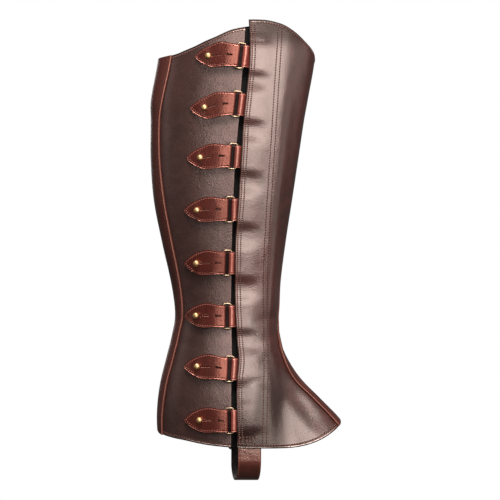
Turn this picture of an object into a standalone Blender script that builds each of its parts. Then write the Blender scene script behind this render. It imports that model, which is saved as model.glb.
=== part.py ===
"""A knee-high leather riding gaiter for a right leg, hollow and upright as on the leg.

+X points to the toe, -Y is the outer side with the closures, +Z is up. The origin lies on
the leg's axis at the ankle, where the gaiter is narrowest. Sizes are in millimetres and
become metres where a vertex is made.
"""

import math

import bmesh
import bpy
from mathutils import Matrix, Vector

MM = 0.001

# Leather, in the order it lies from the leg outwards
PANEL = 2.2
BAND = 1.8
STRAP = 2.0
KEEPER = 1.6
STIRRUP = 2.2
UNDERLAP = 1.4
GAP = 0.3
SEAT_GAP = 0.4

# Sections of the leg form, lowest first. rear and front are the ends of the oval along X and
# half_depth is its half size along Y. rear_band is the angle, either side of the calf, that the
# rear band covers, and front_band the angle of the front band's outer edge. closure is the X of
# the rear panel's free edge, and flap that of the front panel's, which stands out over the closures
# from there to shoulder and has come down to the leg at flat.
SECTION_COLUMNS = ("height", "rear", "front", "half_depth", "rear_band", "front_band", "closure", "flap",
                   "shoulder", "flat")
SECTIONS = (
    (-150, -69.5, 142.0, 35.5, 17, 21, 5.0, 11.0, 43.0, 60.0),
    (-120, -71.4, 118.0, 35.0, 20, 22, 5.2, 11.3, 43.3, 62.0),
    (-99, -70.4, 97.6, 34.0, 23, 23, 5.2, 10.6, 43.6, 62.0),
    (-78, -67.2, 77.0, 32.5, 26, 23, 5.4, 10.8, 43.6, 61.0),
    (-57, -62.0, 63.0, 30.5, 29, 19, 6.0, 12.4, 43.2, 58.5),
    (-36, -56.7, 55.4, 29.0, 30, 9, 5.7, 10.8, 42.6, 52.0),
    (-15, -52.6, 53.4, 28.0, 32, -4, 5.2, 9.5, 42.0, 50.3),
    (0, -52.6, 54.5, 28.0, 33, -8, 4.9, 8.9, 42.0, 51.3),
    (27, -56.8, 56.6, 29.0, 34, -12, 5.3, 8.6, 42.6, 53.2),
    (69, -66.3, 62.6, 31.5, 34, -14, 6.0, 9.2, 44.0, 57.5),
    (111, -74.5, 69.2, 33.5, 33, -14, 7.4, 12.2, 46.4, 62.5),
    (153, -77.8, 75.5, 34.5, 30, -14, 9.4, 15.0, 49.2, 66.5),
    (195, -77.8, 81.8, 34.5, 29, -14, 13.2, 17.6, 52.0, 71.0),
    (216, -77.8, 85.6, 34.0, 33, -14, 14.6, 19.9, 53.4, 76.0),
    (262, -69.9, 93.4, 32.0, 35, -14, 18.0, 24.2, 56.4, 88.0),
    (302, -68.5, 94.5, 31.5, 36, -14, 21.0, 23.6, 59.0, 90.0),
)
SQUARENESS = 2.3  # 2 is an ellipse; more makes the two sides flatter

# Height of the cut edges by angle round the leg: 0 is the shin, 90 the outer side, 180 the calf.
EDGE_COLUMNS = ("angle", "height")
FRONT_TOP = ((-14, 256), (0, 261.5), (15, 268), (24, 273), (33, 278.3), (46, 287.8), (57, 295), (66, 298.5),
             (74, 300.3), (90, 300.5))
REST_TOP = ((70, 297.3), (80, 294.8), (92, 290.8), (104, 282.6), (112, 278), (120, 273), (129, 268.8),
            (140, 264.6), (156, 262), (180, 260), (225, 256), (270, 254), (315, 254), (346, 256), (360, 261.5))
HEM = ((0, -119.5), (30, -129.8), (46, -137), (57, -142.3), (69, -146.8), (80, -148.6), (95, -148.7),
       (107, -147.5), (120, -145), (134, -141), (144, -139), (156, -136.6), (168, -134), (180, -129.5))

# The hollow of the flare, a shallow valley that runs down towards the toe beside the front band
HOLLOW_X = 82.0
HOLLOW_HEIGHT = -102.0
HOLLOW_WAY = -54.0  # degrees from +X
HOLLOW_REACH = (27.0, 8.5)  # along and across
HOLLOW_DEPTH = 4.7

# Closures: height of the ring; the turn of the strap and the lean of the ring in degrees, with the
# pointed end and the upper end forwards if positive; how far up the strap bows between the ring and
# the stud; and from the ring's centre to the front panel's free edge, to the stud and to the tip.
CLOSURE_COLUMNS = ("height", "turn", "lean", "bow", "to_flap", "to_stud", "to_tip")
CLOSURES = (
    (262.2, -2.4, 6.5, 1.8, 9.1, 33.5, 46.9),
    (211.6, -10.2, 6.5, 1.4, 8.7, 33.5, 48.3),
    (157.0, -4.3, 4.5, 1.0, 8.6, 33.4, 47.4),
    (101.5, -2.1, 2.0, 0.8, 7.8, 33.6, 46.9),
    (45.6, -1.1, 2.0, 0.6, 7.8, 31.0, 44.3),
    (-10.4, 0.8, 0.0, 0.8, 8.4, 31.0, 44.6),
    (-65.9, 4.0, 3.0, 1.0, 8.5, 32.9, 46.7),
    (-119.9, 1.9, 0.0, 0.6, 7.8, 30.6, 46.8),
)
UNDERLAP_LIFT = -2.8  # of its outer face
UNDERLAP_REACH = 9.5  # behind the rear panel's edge
UNDERLAP_WIDTH = 24.0
STRAP_TURNS_AT = 5.5  # behind the ring's centre
HALF_STRAP = 11.7
RING_WIRE = 0.8  # radius
RING_HALF_WIDTH = 4.2  # to the wire's centre
RING_HALF_HEIGHT = 12.8
RING_CORNER = 1.6
RING_ARCH = 0.4  # how far the ring's ends stand out in their middle
STRAP_BAR_LIFT = SEAT_GAP + STRAP + GAP + RING_WIRE
KEEPER_BAR_LIFT = 3.6
KEEPER_END = 19.5  # in front of the ring's centre
KEEPER_FLAT_FROM = 10.2
HOLES_APART = 20.0  # the stud's hole and the spare one
HOLE = 1.8  # radius

# The front panel stands out over the keepers' ends
FLAP_RISE = 4.0
BUMP = 2.3
BUMP_BELOW = (12.5, 19.5)  # full to the first, gone by the second, downwards
BUMP_ABOVE = (12.5, 26.0)  # the same upwards
BUMP_REACH = (9.0, 27.0)  # the same from the free edge forwards

# Stirrup strap and its buckle
STIRRUP_HALF = 12.0
STIRRUP_X = (24.5, 16.8)  # centre on the outer and on the inner side
STIRRUP_SEWN = -137.0
STIRRUP_BOTTOM = -183.6
STIRRUP_TURN = -156.0  # the sides start to turn under here
STIRRUP_TIP = -101.0
BUCKLE_HEEL = -131.0
BUCKLE_OUTER_BAR = -152.0
BUCKLE_HALF_WIDTH = 14.3
BUCKLE_CORNER = 2.6
BUCKLE_WIRE = 1.1  # radius
CHAPE_TOP = -108.0
CHAPE_HALF = 10.0
PRONG = 0.9
TONGUE_SLOT_AT = -138.5  # in the strap, for the prong
TONGUE_SLOT = (1.9, 1, 9.5)  # half sizes
PRONG_SLOT_AT = -131.0  # in the chape's fold
PRONG_SLOT = (1.8, 5, 1)

LEATHERS = {
    "dark_leather": (0.055, 0.030, 0.026),
    "brown_leather": (0.100, 0.040, 0.032),
    "red_leather": (0.150, 0.030, 0.020),
}
BRASS = (0.75, 0.50, 0.22)


def smooth(rows, columns, name, at):
    """The named column at a value of the first one, on a smooth curve through the rows."""
    keys = [row[0] for row in rows]
    values = [row[columns.index(name)] for row in rows]
    at = min(max(at, keys[0]), keys[-1])
    last = len(keys) - 1
    i = min(max(sum(key <= at for key in keys) - 1, 0), last - 1)

    def slope(k):
        low, high = max(k - 1, 0), min(k + 1, last)
        return (values[high] - values[low]) / (keys[high] - keys[low])

    span = keys[i + 1] - keys[i]
    t = (at - keys[i]) / span
    start = (1 + 2 * t) * (1 - t) ** 2 * values[i] + t * (1 - t) ** 2 * span * slope(i)
    end = t * t * (3 - 2 * t) * values[i + 1] - t * t * (1 - t) * span * slope(i + 1)
    return start + end


def eased(t):
    """0 below 0, 1 above 1 and a smooth step between."""
    t = min(max(t, 0.0), 1.0)
    return t * t * (3 - 2 * t)


def section(name, height):
    return smooth(SECTIONS, SECTION_COLUMNS, name, height)


def levelled(along: float, end: float, blend: float = 7.0) -> float:
    """A distance that stops growing at an end, with a smooth bend there."""
    over = min(max(along - end + blend, 0.0), 2 * blend)
    return min(along, end + blend) - over * over / (4 * blend)


def signed_power(value, power):
    return math.copysign(abs(value) ** power, value)


def skin(angle, height):
    """A point of the leg form, at an angle in degrees round it."""
    rear, front = section("rear", height), section("front", height)
    turn = math.radians(angle)
    x = (front + rear) / 2 + (front - rear) / 2 * signed_power(math.cos(turn), 2 / SQUARENESS)
    y = -section("half_depth", height) * signed_power(math.sin(turn), 2 / SQUARENESS)
    way = math.radians(HOLLOW_WAY)
    dx, dz = x - HOLLOW_X, height - HOLLOW_HEIGHT
    along, across = dx * math.cos(way) + dz * math.sin(way), dz * math.cos(way) - dx * math.sin(way)
    away = (along / HOLLOW_REACH[0]) ** 2 + (across / HOLLOW_REACH[1]) ** 2
    y -= signed_power(y, 0.5) / 6 * HOLLOW_DEPTH * math.exp(-away)
    return Vector((x, y, height))


def angle_at(x, height):
    """The angle, on the outer side, where the form has this X."""
    rear, front = section("rear", height), section("front", height)
    share = min(max((2 * x - front - rear) / (front - rear), -1.0), 1.0)
    return math.degrees(math.acos(signed_power(share, SQUARENESS / 2)))


def lifted(angle, height, lift):
    """A point of the form moved out along its normal."""
    step = 0.5
    round_it = skin(angle + step, height) - skin(angle - step, height)
    up_it = skin(angle, height + step) - skin(angle, height - step)
    return skin(angle, height) + up_it.cross(round_it).normalized() * lift


def side_point(side, x, height, lift):
    """A point over the outer (-1) or inner (1) side, given by its X and height."""
    point = lifted(angle_at(x, height), height, lift)
    return Vector((point.x, -side * point.y, point.z))


def flap_edge(height):
    return section("flap", height)


def panel_lift(angle, height):
    """How far the front panel stands off the form: over the closures, and most over each keeper."""
    if angle <= 0:
        return 0.0
    x = skin(angle, height).x
    shoulder, flat_from = section("shoulder", height), section("flat", height)
    rise = FLAP_RISE * (1 - eased((x - shoulder) / (flat_from - shoulder)))
    from_edge = x - flap_edge(height)
    along = 1 - eased((from_edge - BUMP_REACH[0]) / (BUMP_REACH[1] - BUMP_REACH[0]))
    for ring_height, _, lean, _, to_flap, _, _ in CLOSURES:
        off = height - ring_height + (from_edge + to_flap) * math.sin(math.radians(lean))
        full, gone = BUMP_ABOVE if off > 0 else BUMP_BELOW
        rise += BUMP * along * (1 - eased((abs(off) - full) / (gone - full)))
    return rise


def material(name, colour, roughness, metallic):
    made = bpy.data.materials.new(name)
    made.use_nodes = True
    shader = made.node_tree.nodes["Principled BSDF"]
    shader.inputs["Base Color"].default_value = (*colour, 1)
    shader.inputs["Roughness"].default_value = roughness
    shader.inputs["Metallic"].default_value = metallic
    return made


def add_object(name, bm, finish):
    """Turns a bmesh, in millimetres, into a named object with its faces pointing out."""
    bmesh.ops.recalc_face_normals(bm, faces=bm.faces)
    bmesh.ops.transform(bm, matrix=Matrix.Scale(MM, 4), verts=bm.verts)
    mesh = bpy.data.meshes.new(name)
    bm.to_mesh(mesh)
    bm.free()
    mesh.shade_smooth()
    mesh.set_sharp_from_angle(angle=math.radians(40))
    mesh.materials.append(finish)
    made = bpy.data.objects.new(name, mesh)
    bpy.context.scene.collection.objects.link(made)
    return made


def skin_rows(bm, rings):
    """Joins rings of the same number of points into a body, with flat ends."""
    made = [[bm.verts.new(point) for point in ring] for ring in rings]
    count = len(made[0])
    for low, high in zip(made, made[1:]):
        for i in range(count):
            j = (i + 1) % count
            bm.faces.new((low[i], low[j], high[j], high[i]))
    bm.faces.new(made[0])
    bm.faces.new(made[-1])


def row_shares():
    """Heights of the wall's rows as shares from hem to top, close together beside each closure."""
    low, high = HEM[6][1], FRONT_TOP[-1][1]
    heights = [low, high]
    for ring_height, *_ in CLOSURES:
        heights += [ring_height + step for step in (-BUMP_BELOW[1], -BUMP_BELOW[0], 0, *BUMP_ABOVE)]
    return [(height - low) / (high - low) for height in sorted(heights)]


def hem_at(angle):
    around = abs((angle + 180) % 360 - 180)
    return smooth(HEM, EDGE_COLUMNS, "height", around)


def column_points(edge, top, shares):
    """(angle, height) of each row on a line up the wall, whose angle follows from the height."""
    points = []
    for share in shares:
        height = hem_at(90) + share * (smooth(top, EDGE_COLUMNS, "height", 90) - hem_at(90))
        for _ in range(4):
            angle = edge(height)
            hem = hem_at(angle)
            height = hem + share * (smooth(top, EDGE_COLUMNS, "height", angle) - hem)
        points.append((angle, height))
    return points


def between(first, last, share):
    return lambda height: first(height) + (last(height) - first(height)) * share


def wall(name, edges, top, lift, thickness, finish):
    """A wall of leather between lines up the leg, with its outer face lifted off the form."""
    columns = [column_points(edge, top, row_shares()) for edge in edges]
    bm = bmesh.new()
    faces = []
    for depth in (0, thickness):
        rows = [[bm.verts.new(lifted(*point, lift(*point) - depth)) for point in row]
                for row in zip(*columns)]
        for low, high in zip(rows, rows[1:]):
            for i in range(len(low) - 1):
                bm.faces.new((low[i], low[i + 1], high[i + 1]))
                bm.faces.new((low[i], high[i + 1], high[i]))
        faces.append(rows)
    outer, inner = faces
    borders = [(outer[end], inner[end]) for end in (0, -1)]
    borders += [([row[end] for row in outer], [row[end] for row in inner]) for end in (0, -1)]
    for near, far in borders:
        for i in range(len(near) - 1):
            bm.faces.new((near[i], near[i + 1], far[i + 1], far[i]))
    return add_object(name, bm, finish)


def rear_seam(height):
    return 180.0


def rear_band_edge(side):
    return lambda height: 180 + side * section("rear_band", height)


FRONT_BAND_ANGLE = 34.0  # how far round the front band reaches from its outer edge


def front_band_outer(height):
    return section("front_band", height)


def front_band_inner(height):
    return section("front_band", height) - FRONT_BAND_ANGLE


def front_seam(height):
    return section("front_band", height) - FRONT_BAND_ANGLE / 2


def a_turn_on(edge):
    """The same line, counted on past the calf."""
    return lambda height: edge(height) + 360


def shifted(edge, millimetres):
    """A line moved round the form by a small distance."""
    def moved(height):
        angle = edge(height)
        per_degree = (skin(angle + 0.5, height) - skin(angle - 0.5, height)).length
        return angle + millimetres / per_degree
    return moved


def flat(lift):
    return lambda angle, height: lift


def lines(first, last, count):
    """Lines from first to last, leaving the last one out."""
    return [between(first, last, i / count) for i in range(count)]


def build_walls(dark, brown, red):
    seam = GAP / 2
    flap_lines = [lambda height, step=step: angle_at(flap_edge(height) + step, height)
                  for step in (0, 6, 11, 18, 25, 33, 38, 43)]
    front_edges = flap_lines[:-1] + lines(flap_lines[-1], front_band_outer, 5)
    front_edges += lines(front_band_outer, front_seam, 2) + [shifted(front_seam, seam)]
    wall("front_panel", front_edges[::-1], FRONT_TOP, panel_lift, PANEL, brown)

    def closure_edge(height):
        return angle_at(section("closure", height), height)

    rear_edges = lines(closure_edge, rear_band_edge(-1), 7)
    rear_edges += lines(rear_band_edge(-1), rear_seam, 2) + [shifted(rear_seam, -seam)]
    wall("rear_panel", rear_edges, REST_TOP, flat(0), PANEL, dark)

    def underlap_line(share):
        beyond = UNDERLAP_WIDTH * share - UNDERLAP_REACH
        return lambda height: angle_at(section("closure", height) + beyond, height)

    underlap_edges = [underlap_line(share) for share in (1, 2 / 3, 1 / 3, 0)]
    wall("underlap", underlap_edges, REST_TOP, flat(UNDERLAP_LIFT), UNDERLAP, dark)

    inner_edges = [shifted(rear_seam, seam)] + lines(rear_seam, rear_band_edge(1), 2)[1:]
    inner_edges += lines(rear_band_edge(1), a_turn_on(front_band_inner), 9)
    inner_edges += lines(a_turn_on(front_band_inner), a_turn_on(front_seam), 2)
    inner_edges += [shifted(a_turn_on(front_seam), -seam)]
    wall("inner_panel", inner_edges, REST_TOP, flat(0), PANEL, dark)

    band_edges = lines(rear_band_edge(-1), rear_seam, 2) + lines(rear_seam, rear_band_edge(1), 2)
    wall("rear_band", band_edges + [rear_band_edge(1)], REST_TOP, flat(GAP + BAND), BAND, red)
    band_edges = lines(front_band_inner, front_seam, 2) + lines(front_seam, front_band_outer, 2)
    wall("front_band", band_edges + [front_band_outer], FRONT_TOP, flat(GAP + BAND), BAND, red)


def ribbon(name, stations, place, thickness, finish):
    """A strip of leather along stations of (run, lift, half_width); place turns them into points."""
    bm = bmesh.new()
    rings = []
    for i, (run, lift, half_width) in enumerate(stations):
        before, after = stations[max(i - 1, 0)], stations[min(i + 1, len(stations) - 1)]
        along = Vector((after[0] - before[0], after[1] - before[1])).normalized()
        across = Vector((-along.y, along.x)) * thickness / 2
        ring = []
        for side, face in ((-1, 1), (1, 1), (1, -1), (-1, -1)):
            ring.append(place(run + face * across.x, side * half_width, lift + face * across.y))
        rings.append(ring)
    skin_rows(bm, rings)
    return add_object(name, bm, finish)


def arc(centre, radius, start, end, steps):
    """Points of an arc in the plane of run and lift, with angles in degrees from the run's axis."""
    points = []
    for i in range(steps + 1):
        turn = math.radians(start + (end - start) * i / steps)
        points.append((centre[0] + radius * math.cos(turn), centre[1] + radius * math.sin(turn)))
    return points


def closure_place(ring_height, turn, lean, bow, to_flap, to_stud, _):
    """Maps run (from the ring towards the calf), across (up) and lift to a point on the outer side."""
    turn, lean = math.radians(turn), math.radians(lean)
    ring_x = flap_edge(ring_height) - to_flap
    round_leg = [0.0]
    for i in range(60):
        here, there = (skin(angle_at(ring_x - step, ring_height), ring_height) for step in (i, i + 1))
        round_leg.append(round_leg[-1] + (there - here).length)

    def behind(run):
        """Distance along X for a run measured round the leg."""
        if run <= 0:
            return run
        i = sum(length <= run for length in round_leg) - 1
        return i + (run - round_leg[i]) / (round_leg[i + 1] - round_leg[i])

    def place(run, across, lift):
        square, beyond = min(run, STRAP_TURNS_AT), max(run - STRAP_TURNS_AT, 0.0)
        share = min(beyond / (to_stud - STRAP_TURNS_AT), 1.0)
        slant = math.sin(lean) * (1 - eased(beyond / to_stud))
        x = ring_x - behind(square * math.cos(lean) + beyond * math.cos(turn)) + across * slant
        risen = levelled(beyond, to_stud - STRAP_TURNS_AT) * math.sin(turn)
        height = ring_height + square * math.sin(lean) + risen + across * math.cos(lean)
        return side_point(-1, x, height + 16 * bow * (share * (1 - share)) ** 2, lift)

    return place


# The pointed strap: run from the ring's centre, lift of its middle and half width
STRAP_ANCHOR = ((38.5, 5.0), (36.5, 7.4), (30.0, 10.4), (22.0, HALF_STRAP), (11.0, HALF_STRAP))
STRAP_BACK_COLUMNS = ("run", "lift", "half_width")
STRAP_BACK = (
    (8.5, 6.0, 11.8),
    (13.8, 5.9, 12.3),
    (18.8, 5.4, 13.0),
    (23.5, 4.8, 13.1),
    (27.5, 4.3, 12.5),
    (31.5, 3.9, 11.3),
    (35.2, 3.8, 9.7),
    (38.9, 3.6, 7.7),
    (42.0, 3.1, 5.7),
    (44.4, 2.5, 3.8),
    (45.9, 2.1, 2.2),
    (46.8, 1.9, 0.9),
)


def strap_stations(to_tip):
    """The strap from its sewn end round the ring's bar and back to its tip, drawn out to reach it."""
    flat_lift = SEAT_GAP + STRAP / 2
    anchor = [(run, flat_lift, half) for run, half in STRAP_ANCHOR]
    around = arc((RING_HALF_WIDTH, STRAP_BAR_LIFT), RING_WIRE + GAP + STRAP / 2, -80, -280, 6)
    start, end = STRAP_BACK[0][0], STRAP_BACK[-1][0]
    drawn = (to_tip - start) / (end - start)
    back = [(start + (run - start) * drawn, lift, half) for run, lift, half in STRAP_BACK]
    return anchor + [(run, lift, HALF_STRAP) for run, lift in around] + back


def keeper_stations():
    upper, lower = KEEPER / 2 + GAP, -KEEPER / 2
    ends = [(-KEEPER_END, upper), (-KEEPER_FLAT_FROM, upper), (-KEEPER_FLAT_FROM + 1.8, upper + 0.5)]
    around = arc((-RING_HALF_WIDTH, KEEPER_BAR_LIFT), RING_WIRE + GAP + KEEPER / 2, 195, -60, 6)
    back = [(-KEEPER_FLAT_FROM + 3.2, lower + 1.0), (-KEEPER_FLAT_FROM + 1, lower), (-KEEPER_END, lower)]
    return [(run, lift, HALF_STRAP) for run, lift in ends + around + back]


def rounded_loop(half_width, half_height, corner, steps):
    """Points of a rounded rectangle, in order."""
    points = []
    for sign_x, sign_y, start in ((1, 1, 0), (-1, 1, 90), (-1, -1, 180), (1, -1, 270)):
        centre = (sign_x * (half_width - corner), sign_y * (half_height - corner))
        points += arc(centre, corner, start, start + 90, steps)
    return points


def ring_loop(steps):
    """The ring's middle line, straight at its bars and arched at its ends."""
    points = rounded_loop(RING_HALF_WIDTH, RING_HALF_HEIGHT, RING_CORNER, steps)
    points.insert(steps + 1, (0.0, RING_HALF_HEIGHT))
    points.insert(3 * steps + 4, (0.0, -RING_HALF_HEIGHT))
    arched = []
    for run, across in points:
        out = RING_ARCH * (1 - (run / RING_HALF_WIDTH) ** 2)
        arched.append((run, across + math.copysign(out, across)))
    return arched


def wire(name, points, radius, finish, cyclic):
    """A round wire along points in millimetres."""
    curve = bpy.data.curves.new(name, "CURVE")
    curve.dimensions = "3D"
    curve.bevel_depth = radius * MM
    curve.bevel_resolution = 2
    curve.use_fill_caps = True
    spline = curve.splines.new("POLY")
    spline.points.add(len(points) - 1)
    for target, point in zip(spline.points, points):
        target.co = (*(point * MM), 1)
    spline.use_cyclic_u = cyclic
    spline.use_smooth = True
    curve.materials.append(finish)
    made = bpy.data.objects.new(name, curve)
    bpy.context.scene.collection.objects.link(made)
    return made


def cutter(name, points, radius, sides):
    """A hidden prism between two points, to drill with."""
    low, high = (Vector(point) for point in points)
    axis = high - low
    bm = bmesh.new()
    matrix = Matrix.Translation((low + high) / 2) @ axis.to_track_quat("Z", "Y").to_matrix().to_4x4()
    bmesh.ops.create_cone(bm, cap_ends=True, segments=sides, radius1=radius, radius2=radius,
                          depth=axis.length, matrix=matrix)
    made = add_object(name, bm, bpy.data.materials[0])
    made.hide_render = True
    made.display_type = "WIRE"
    return made


def cut(target, tool):
    modifier = target.modifiers.new("cut_" + tool.name, "BOOLEAN")
    modifier.operation = "DIFFERENCE"
    modifier.object = tool


STUD_COLUMNS = ("radius", "lift")
STUD_PROFILE = ((1.5, 2.7), (1.5, 5.6), (2.4, 5.8), (3.1, 6.9), (3.35, 8.2), (2.8, 9.8), (1.6, 10.9))
STUD_SIDES = 12


def turned_stud(name, foot, head, finish):
    """A ball stud that stands on foot and points to head."""
    axis = (head - foot).normalized()
    side = axis.orthogonal().normalized()
    other = axis.cross(side)
    rings = []
    for radius, lift in STUD_PROFILE:
        turns = [2 * math.pi * i / STUD_SIDES for i in range(STUD_SIDES)]
        middle = foot + axis * lift
        rings.append([middle + (side * math.cos(t) + other * math.sin(t)) * radius for t in turns])
    bm = bmesh.new()
    skin_rows(bm, rings)
    return add_object(name, bm, finish)


def build_closure(number, row, red, brass):
    place = closure_place(*row)
    to_stud, to_tip = row[-2:]
    strap = ribbon(f"strap_{number}", strap_stations(to_tip), place, STRAP, red)
    to_spare = to_stud - HOLES_APART
    cut(strap, cutter(f"stud_hole_{number}", [place(to_stud, 0, lift) for lift in (2.55, 7)], HOLE, 10))
    cut(strap, cutter(f"spare_hole_{number}", [place(to_spare, 0, lift) for lift in (3.7, 9)], HOLE, 10))
    ribbon(f"keeper_{number}", keeper_stations(), place, KEEPER, red)

    loop = []
    for run, across in ring_loop(2):
        share = (run + RING_HALF_WIDTH) / (2 * RING_HALF_WIDTH)
        loop.append(place(run, across, KEEPER_BAR_LIFT + (STRAP_BAR_LIFT - KEEPER_BAR_LIFT) * share))
    wire(f"ring_{number}", loop, RING_WIRE, brass, cyclic=True)
    turned_stud(f"stud_{number}", place(to_stud, 0, 0), place(to_stud, 0, 10), brass)


def stirrup_place(run, across, lift):
    """Maps height, across and distance from the leg's middle plane; the strap slants as it crosses."""
    share = min(max((lift + 34) / 68, 0.0), 1.0)
    x = STIRRUP_X[0] + (STIRRUP_X[1] - STIRRUP_X[0]) * share + across
    return Vector((x, lift, run))


def inner_side(height, lift):
    """Distance of the inner panel's outer face from the middle plane, at the buckle, plus a lift."""
    return side_point(1, STIRRUP_X[1], height, lift).y


def outer_side(height, lift):
    return side_point(-1, STIRRUP_X[0], height, lift).y


def build_stirrup(red, brass):
    """The strap under the boot: sewn inside the outer hem, buckled outside the inner one."""
    near = outer_side(STIRRUP_TURN, -SEAT_GAP - STIRRUP / 2)
    far = inner_side(STIRRUP_TURN, SEAT_GAP + STIRRUP / 2)
    middle, half = (near + far) / 2, (far - near) / 2
    under = []
    for i in range(1, 12):
        turn = math.pi * i / 12
        under.append((STIRRUP_TURN - (STIRRUP_TURN - STIRRUP_BOTTOM - STIRRUP / 2) * math.sin(turn),
                      middle - half * math.cos(turn)))
    outer_bar_lift = SEAT_GAP + STIRRUP + GAP + BUCKLE_WIRE
    heel_lift = SEAT_GAP + KEEPER + GAP + BUCKLE_WIRE
    over_heel = heel_lift + BUCKLE_WIRE + GAP + KEEPER + GAP + STIRRUP / 2
    over_chape = SEAT_GAP + 2 * KEEPER + GAP + SEAT_GAP + STIRRUP / 2
    stations = [(STIRRUP_SEWN, outer_side(STIRRUP_SEWN, -SEAT_GAP - STIRRUP / 2), STIRRUP_HALF),
                (STIRRUP_TURN, near, STIRRUP_HALF)]
    stations += [(height, depth, STIRRUP_HALF) for height, depth in under]
    rising = ((STIRRUP_TURN, SEAT_GAP + STIRRUP / 2), (BUCKLE_OUTER_BAR + 1.5, SEAT_GAP + STIRRUP / 2),
              (BUCKLE_OUTER_BAR + 4, 2.4), (BUCKLE_HEEL - 6, 6.0), (BUCKLE_HEEL - 2, over_heel),
              (BUCKLE_HEEL + 3, over_heel), (BUCKLE_HEEL + 11, over_chape), (STIRRUP_TIP - 8, over_chape))
    stations += [(height, inner_side(height, lift), STIRRUP_HALF) for height, lift in rising]
    stations += [(STIRRUP_TIP - 3, inner_side(STIRRUP_TIP, over_chape), 8.5),
                 (STIRRUP_TIP, inner_side(STIRRUP_TIP, over_chape), 4.0)]
    strap = ribbon("stirrup_strap", stations, stirrup_place, STIRRUP, red)

    def at(across, height, lift):
        return Vector((STIRRUP_X[1] + across, inner_side(height, lift), height))

    def stretch(tool, middle, scales):
        """Widens a cutter of 1 mm radius into a slot."""
        tool.data.transform(Matrix.Translation(middle * MM) @ Matrix.Diagonal((*scales, 1))
                            @ Matrix.Translation(-middle * MM))

    tongue_slot = cutter("tongue_slot", [at(0, TONGUE_SLOT_AT, lift) for lift in (-2, 14)], 1, 12)
    stretch(tongue_slot, at(0, TONGUE_SLOT_AT, 6), TONGUE_SLOT)
    cut(strap, tongue_slot)

    heel = (BUCKLE_HEEL, heel_lift)
    stations = [(CHAPE_TOP, SEAT_GAP + 1.5 * KEEPER + GAP, CHAPE_HALF),
                (BUCKLE_HEEL + 8, SEAT_GAP + 1.5 * KEEPER + GAP, CHAPE_HALF)]
    stations += [(height, lift, CHAPE_HALF)
                 for height, lift in arc(heel, BUCKLE_WIRE + GAP + KEEPER / 2, 75, 280, 6)]
    stations += [(height, SEAT_GAP + KEEPER / 2, CHAPE_HALF) for height in (BUCKLE_HEEL + 6, CHAPE_TOP)]
    chape = ribbon("buckle_chape", stations, lambda run, across, lift: at(across, run, lift), KEEPER, red)
    prong_slot = cutter("prong_slot", [at(0, PRONG_SLOT_AT + step, heel_lift) for step in (-7, 5.5)], 1, 12)
    stretch(prong_slot, at(0, PRONG_SLOT_AT, heel_lift), PRONG_SLOT)
    cut(chape, prong_slot)

    middle_height = (BUCKLE_HEEL + BUCKLE_OUTER_BAR) / 2
    half_height = (BUCKLE_HEEL - BUCKLE_OUTER_BAR) / 2
    loop = []
    for across, up in rounded_loop(BUCKLE_HALF_WIDTH, half_height, BUCKLE_CORNER, 3):
        share = (up + half_height) / (2 * half_height)
        loop.append(at(across, middle_height + up, outer_bar_lift + (heel_lift - outer_bar_lift) * share))
    wire("buckle_frame", loop, BUCKLE_WIRE, brass, cyclic=True)

    prong = arc(heel, BUCKLE_WIRE + GAP + PRONG, -60, 120, 6)
    prong += [(BUCKLE_OUTER_BAR, outer_bar_lift + BUCKLE_WIRE + GAP + PRONG),
              (BUCKLE_OUTER_BAR - 1.5, outer_bar_lift + BUCKLE_WIRE + PRONG)]
    wire("buckle_prong", [at(0, height, lift) for height, lift in prong], PRONG, brass, cyclic=False)


def main():
    for old in list(bpy.data.objects):
        bpy.data.objects.remove(old)
    dark, brown, red = (material(name, colour, 0.5, 0.0) for name, colour in LEATHERS.items())
    brass = material("brass", BRASS, 0.3, 1.0)
    build_walls(dark, brown, red)
    for number, row in enumerate(CLOSURES, 1):
        build_closure(number, row, red, brass)
    build_stirrup(red, brass)


main()
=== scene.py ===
"""Finish of a tall leather riding gaiter: its panels, bands, closures, stitching and stirrup strap.

Sizes are in millimetres. They become metres where a mesh is made. +X points to the toe, -Y is the
outer side with the closures, and +Z is up the leg, with the origin on the leg's axis at the ankle.
"""

from __future__ import annotations

import logging
import math
from contextlib import contextmanager
from dataclasses import dataclass, field
from enum import Enum
from functools import lru_cache
from typing import Any, Callable, ClassVar, Iterable, Iterator, Sequence

import bpy
import numpy as np
from mathutils import Matrix, Vector

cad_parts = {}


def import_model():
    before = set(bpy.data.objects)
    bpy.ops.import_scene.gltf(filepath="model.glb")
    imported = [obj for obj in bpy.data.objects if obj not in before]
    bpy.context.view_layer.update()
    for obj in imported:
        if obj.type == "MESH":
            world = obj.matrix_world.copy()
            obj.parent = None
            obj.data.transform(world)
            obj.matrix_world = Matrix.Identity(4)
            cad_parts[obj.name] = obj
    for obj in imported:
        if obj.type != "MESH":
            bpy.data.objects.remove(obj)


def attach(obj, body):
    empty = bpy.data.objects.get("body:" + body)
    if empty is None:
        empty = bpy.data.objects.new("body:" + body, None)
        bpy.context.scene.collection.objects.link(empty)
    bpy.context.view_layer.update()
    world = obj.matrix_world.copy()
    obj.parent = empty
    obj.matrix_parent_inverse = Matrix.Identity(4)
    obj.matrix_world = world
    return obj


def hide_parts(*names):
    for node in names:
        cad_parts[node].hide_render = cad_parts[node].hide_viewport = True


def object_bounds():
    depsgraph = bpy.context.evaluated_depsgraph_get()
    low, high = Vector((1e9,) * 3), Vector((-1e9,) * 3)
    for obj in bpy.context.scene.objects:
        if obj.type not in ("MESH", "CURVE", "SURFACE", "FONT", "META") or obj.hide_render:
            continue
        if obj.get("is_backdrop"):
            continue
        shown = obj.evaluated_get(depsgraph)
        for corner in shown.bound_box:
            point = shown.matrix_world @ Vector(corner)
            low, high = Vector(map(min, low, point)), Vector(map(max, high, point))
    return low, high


MM = 0.001
LOG = logging.getLogger("gaiter")

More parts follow.
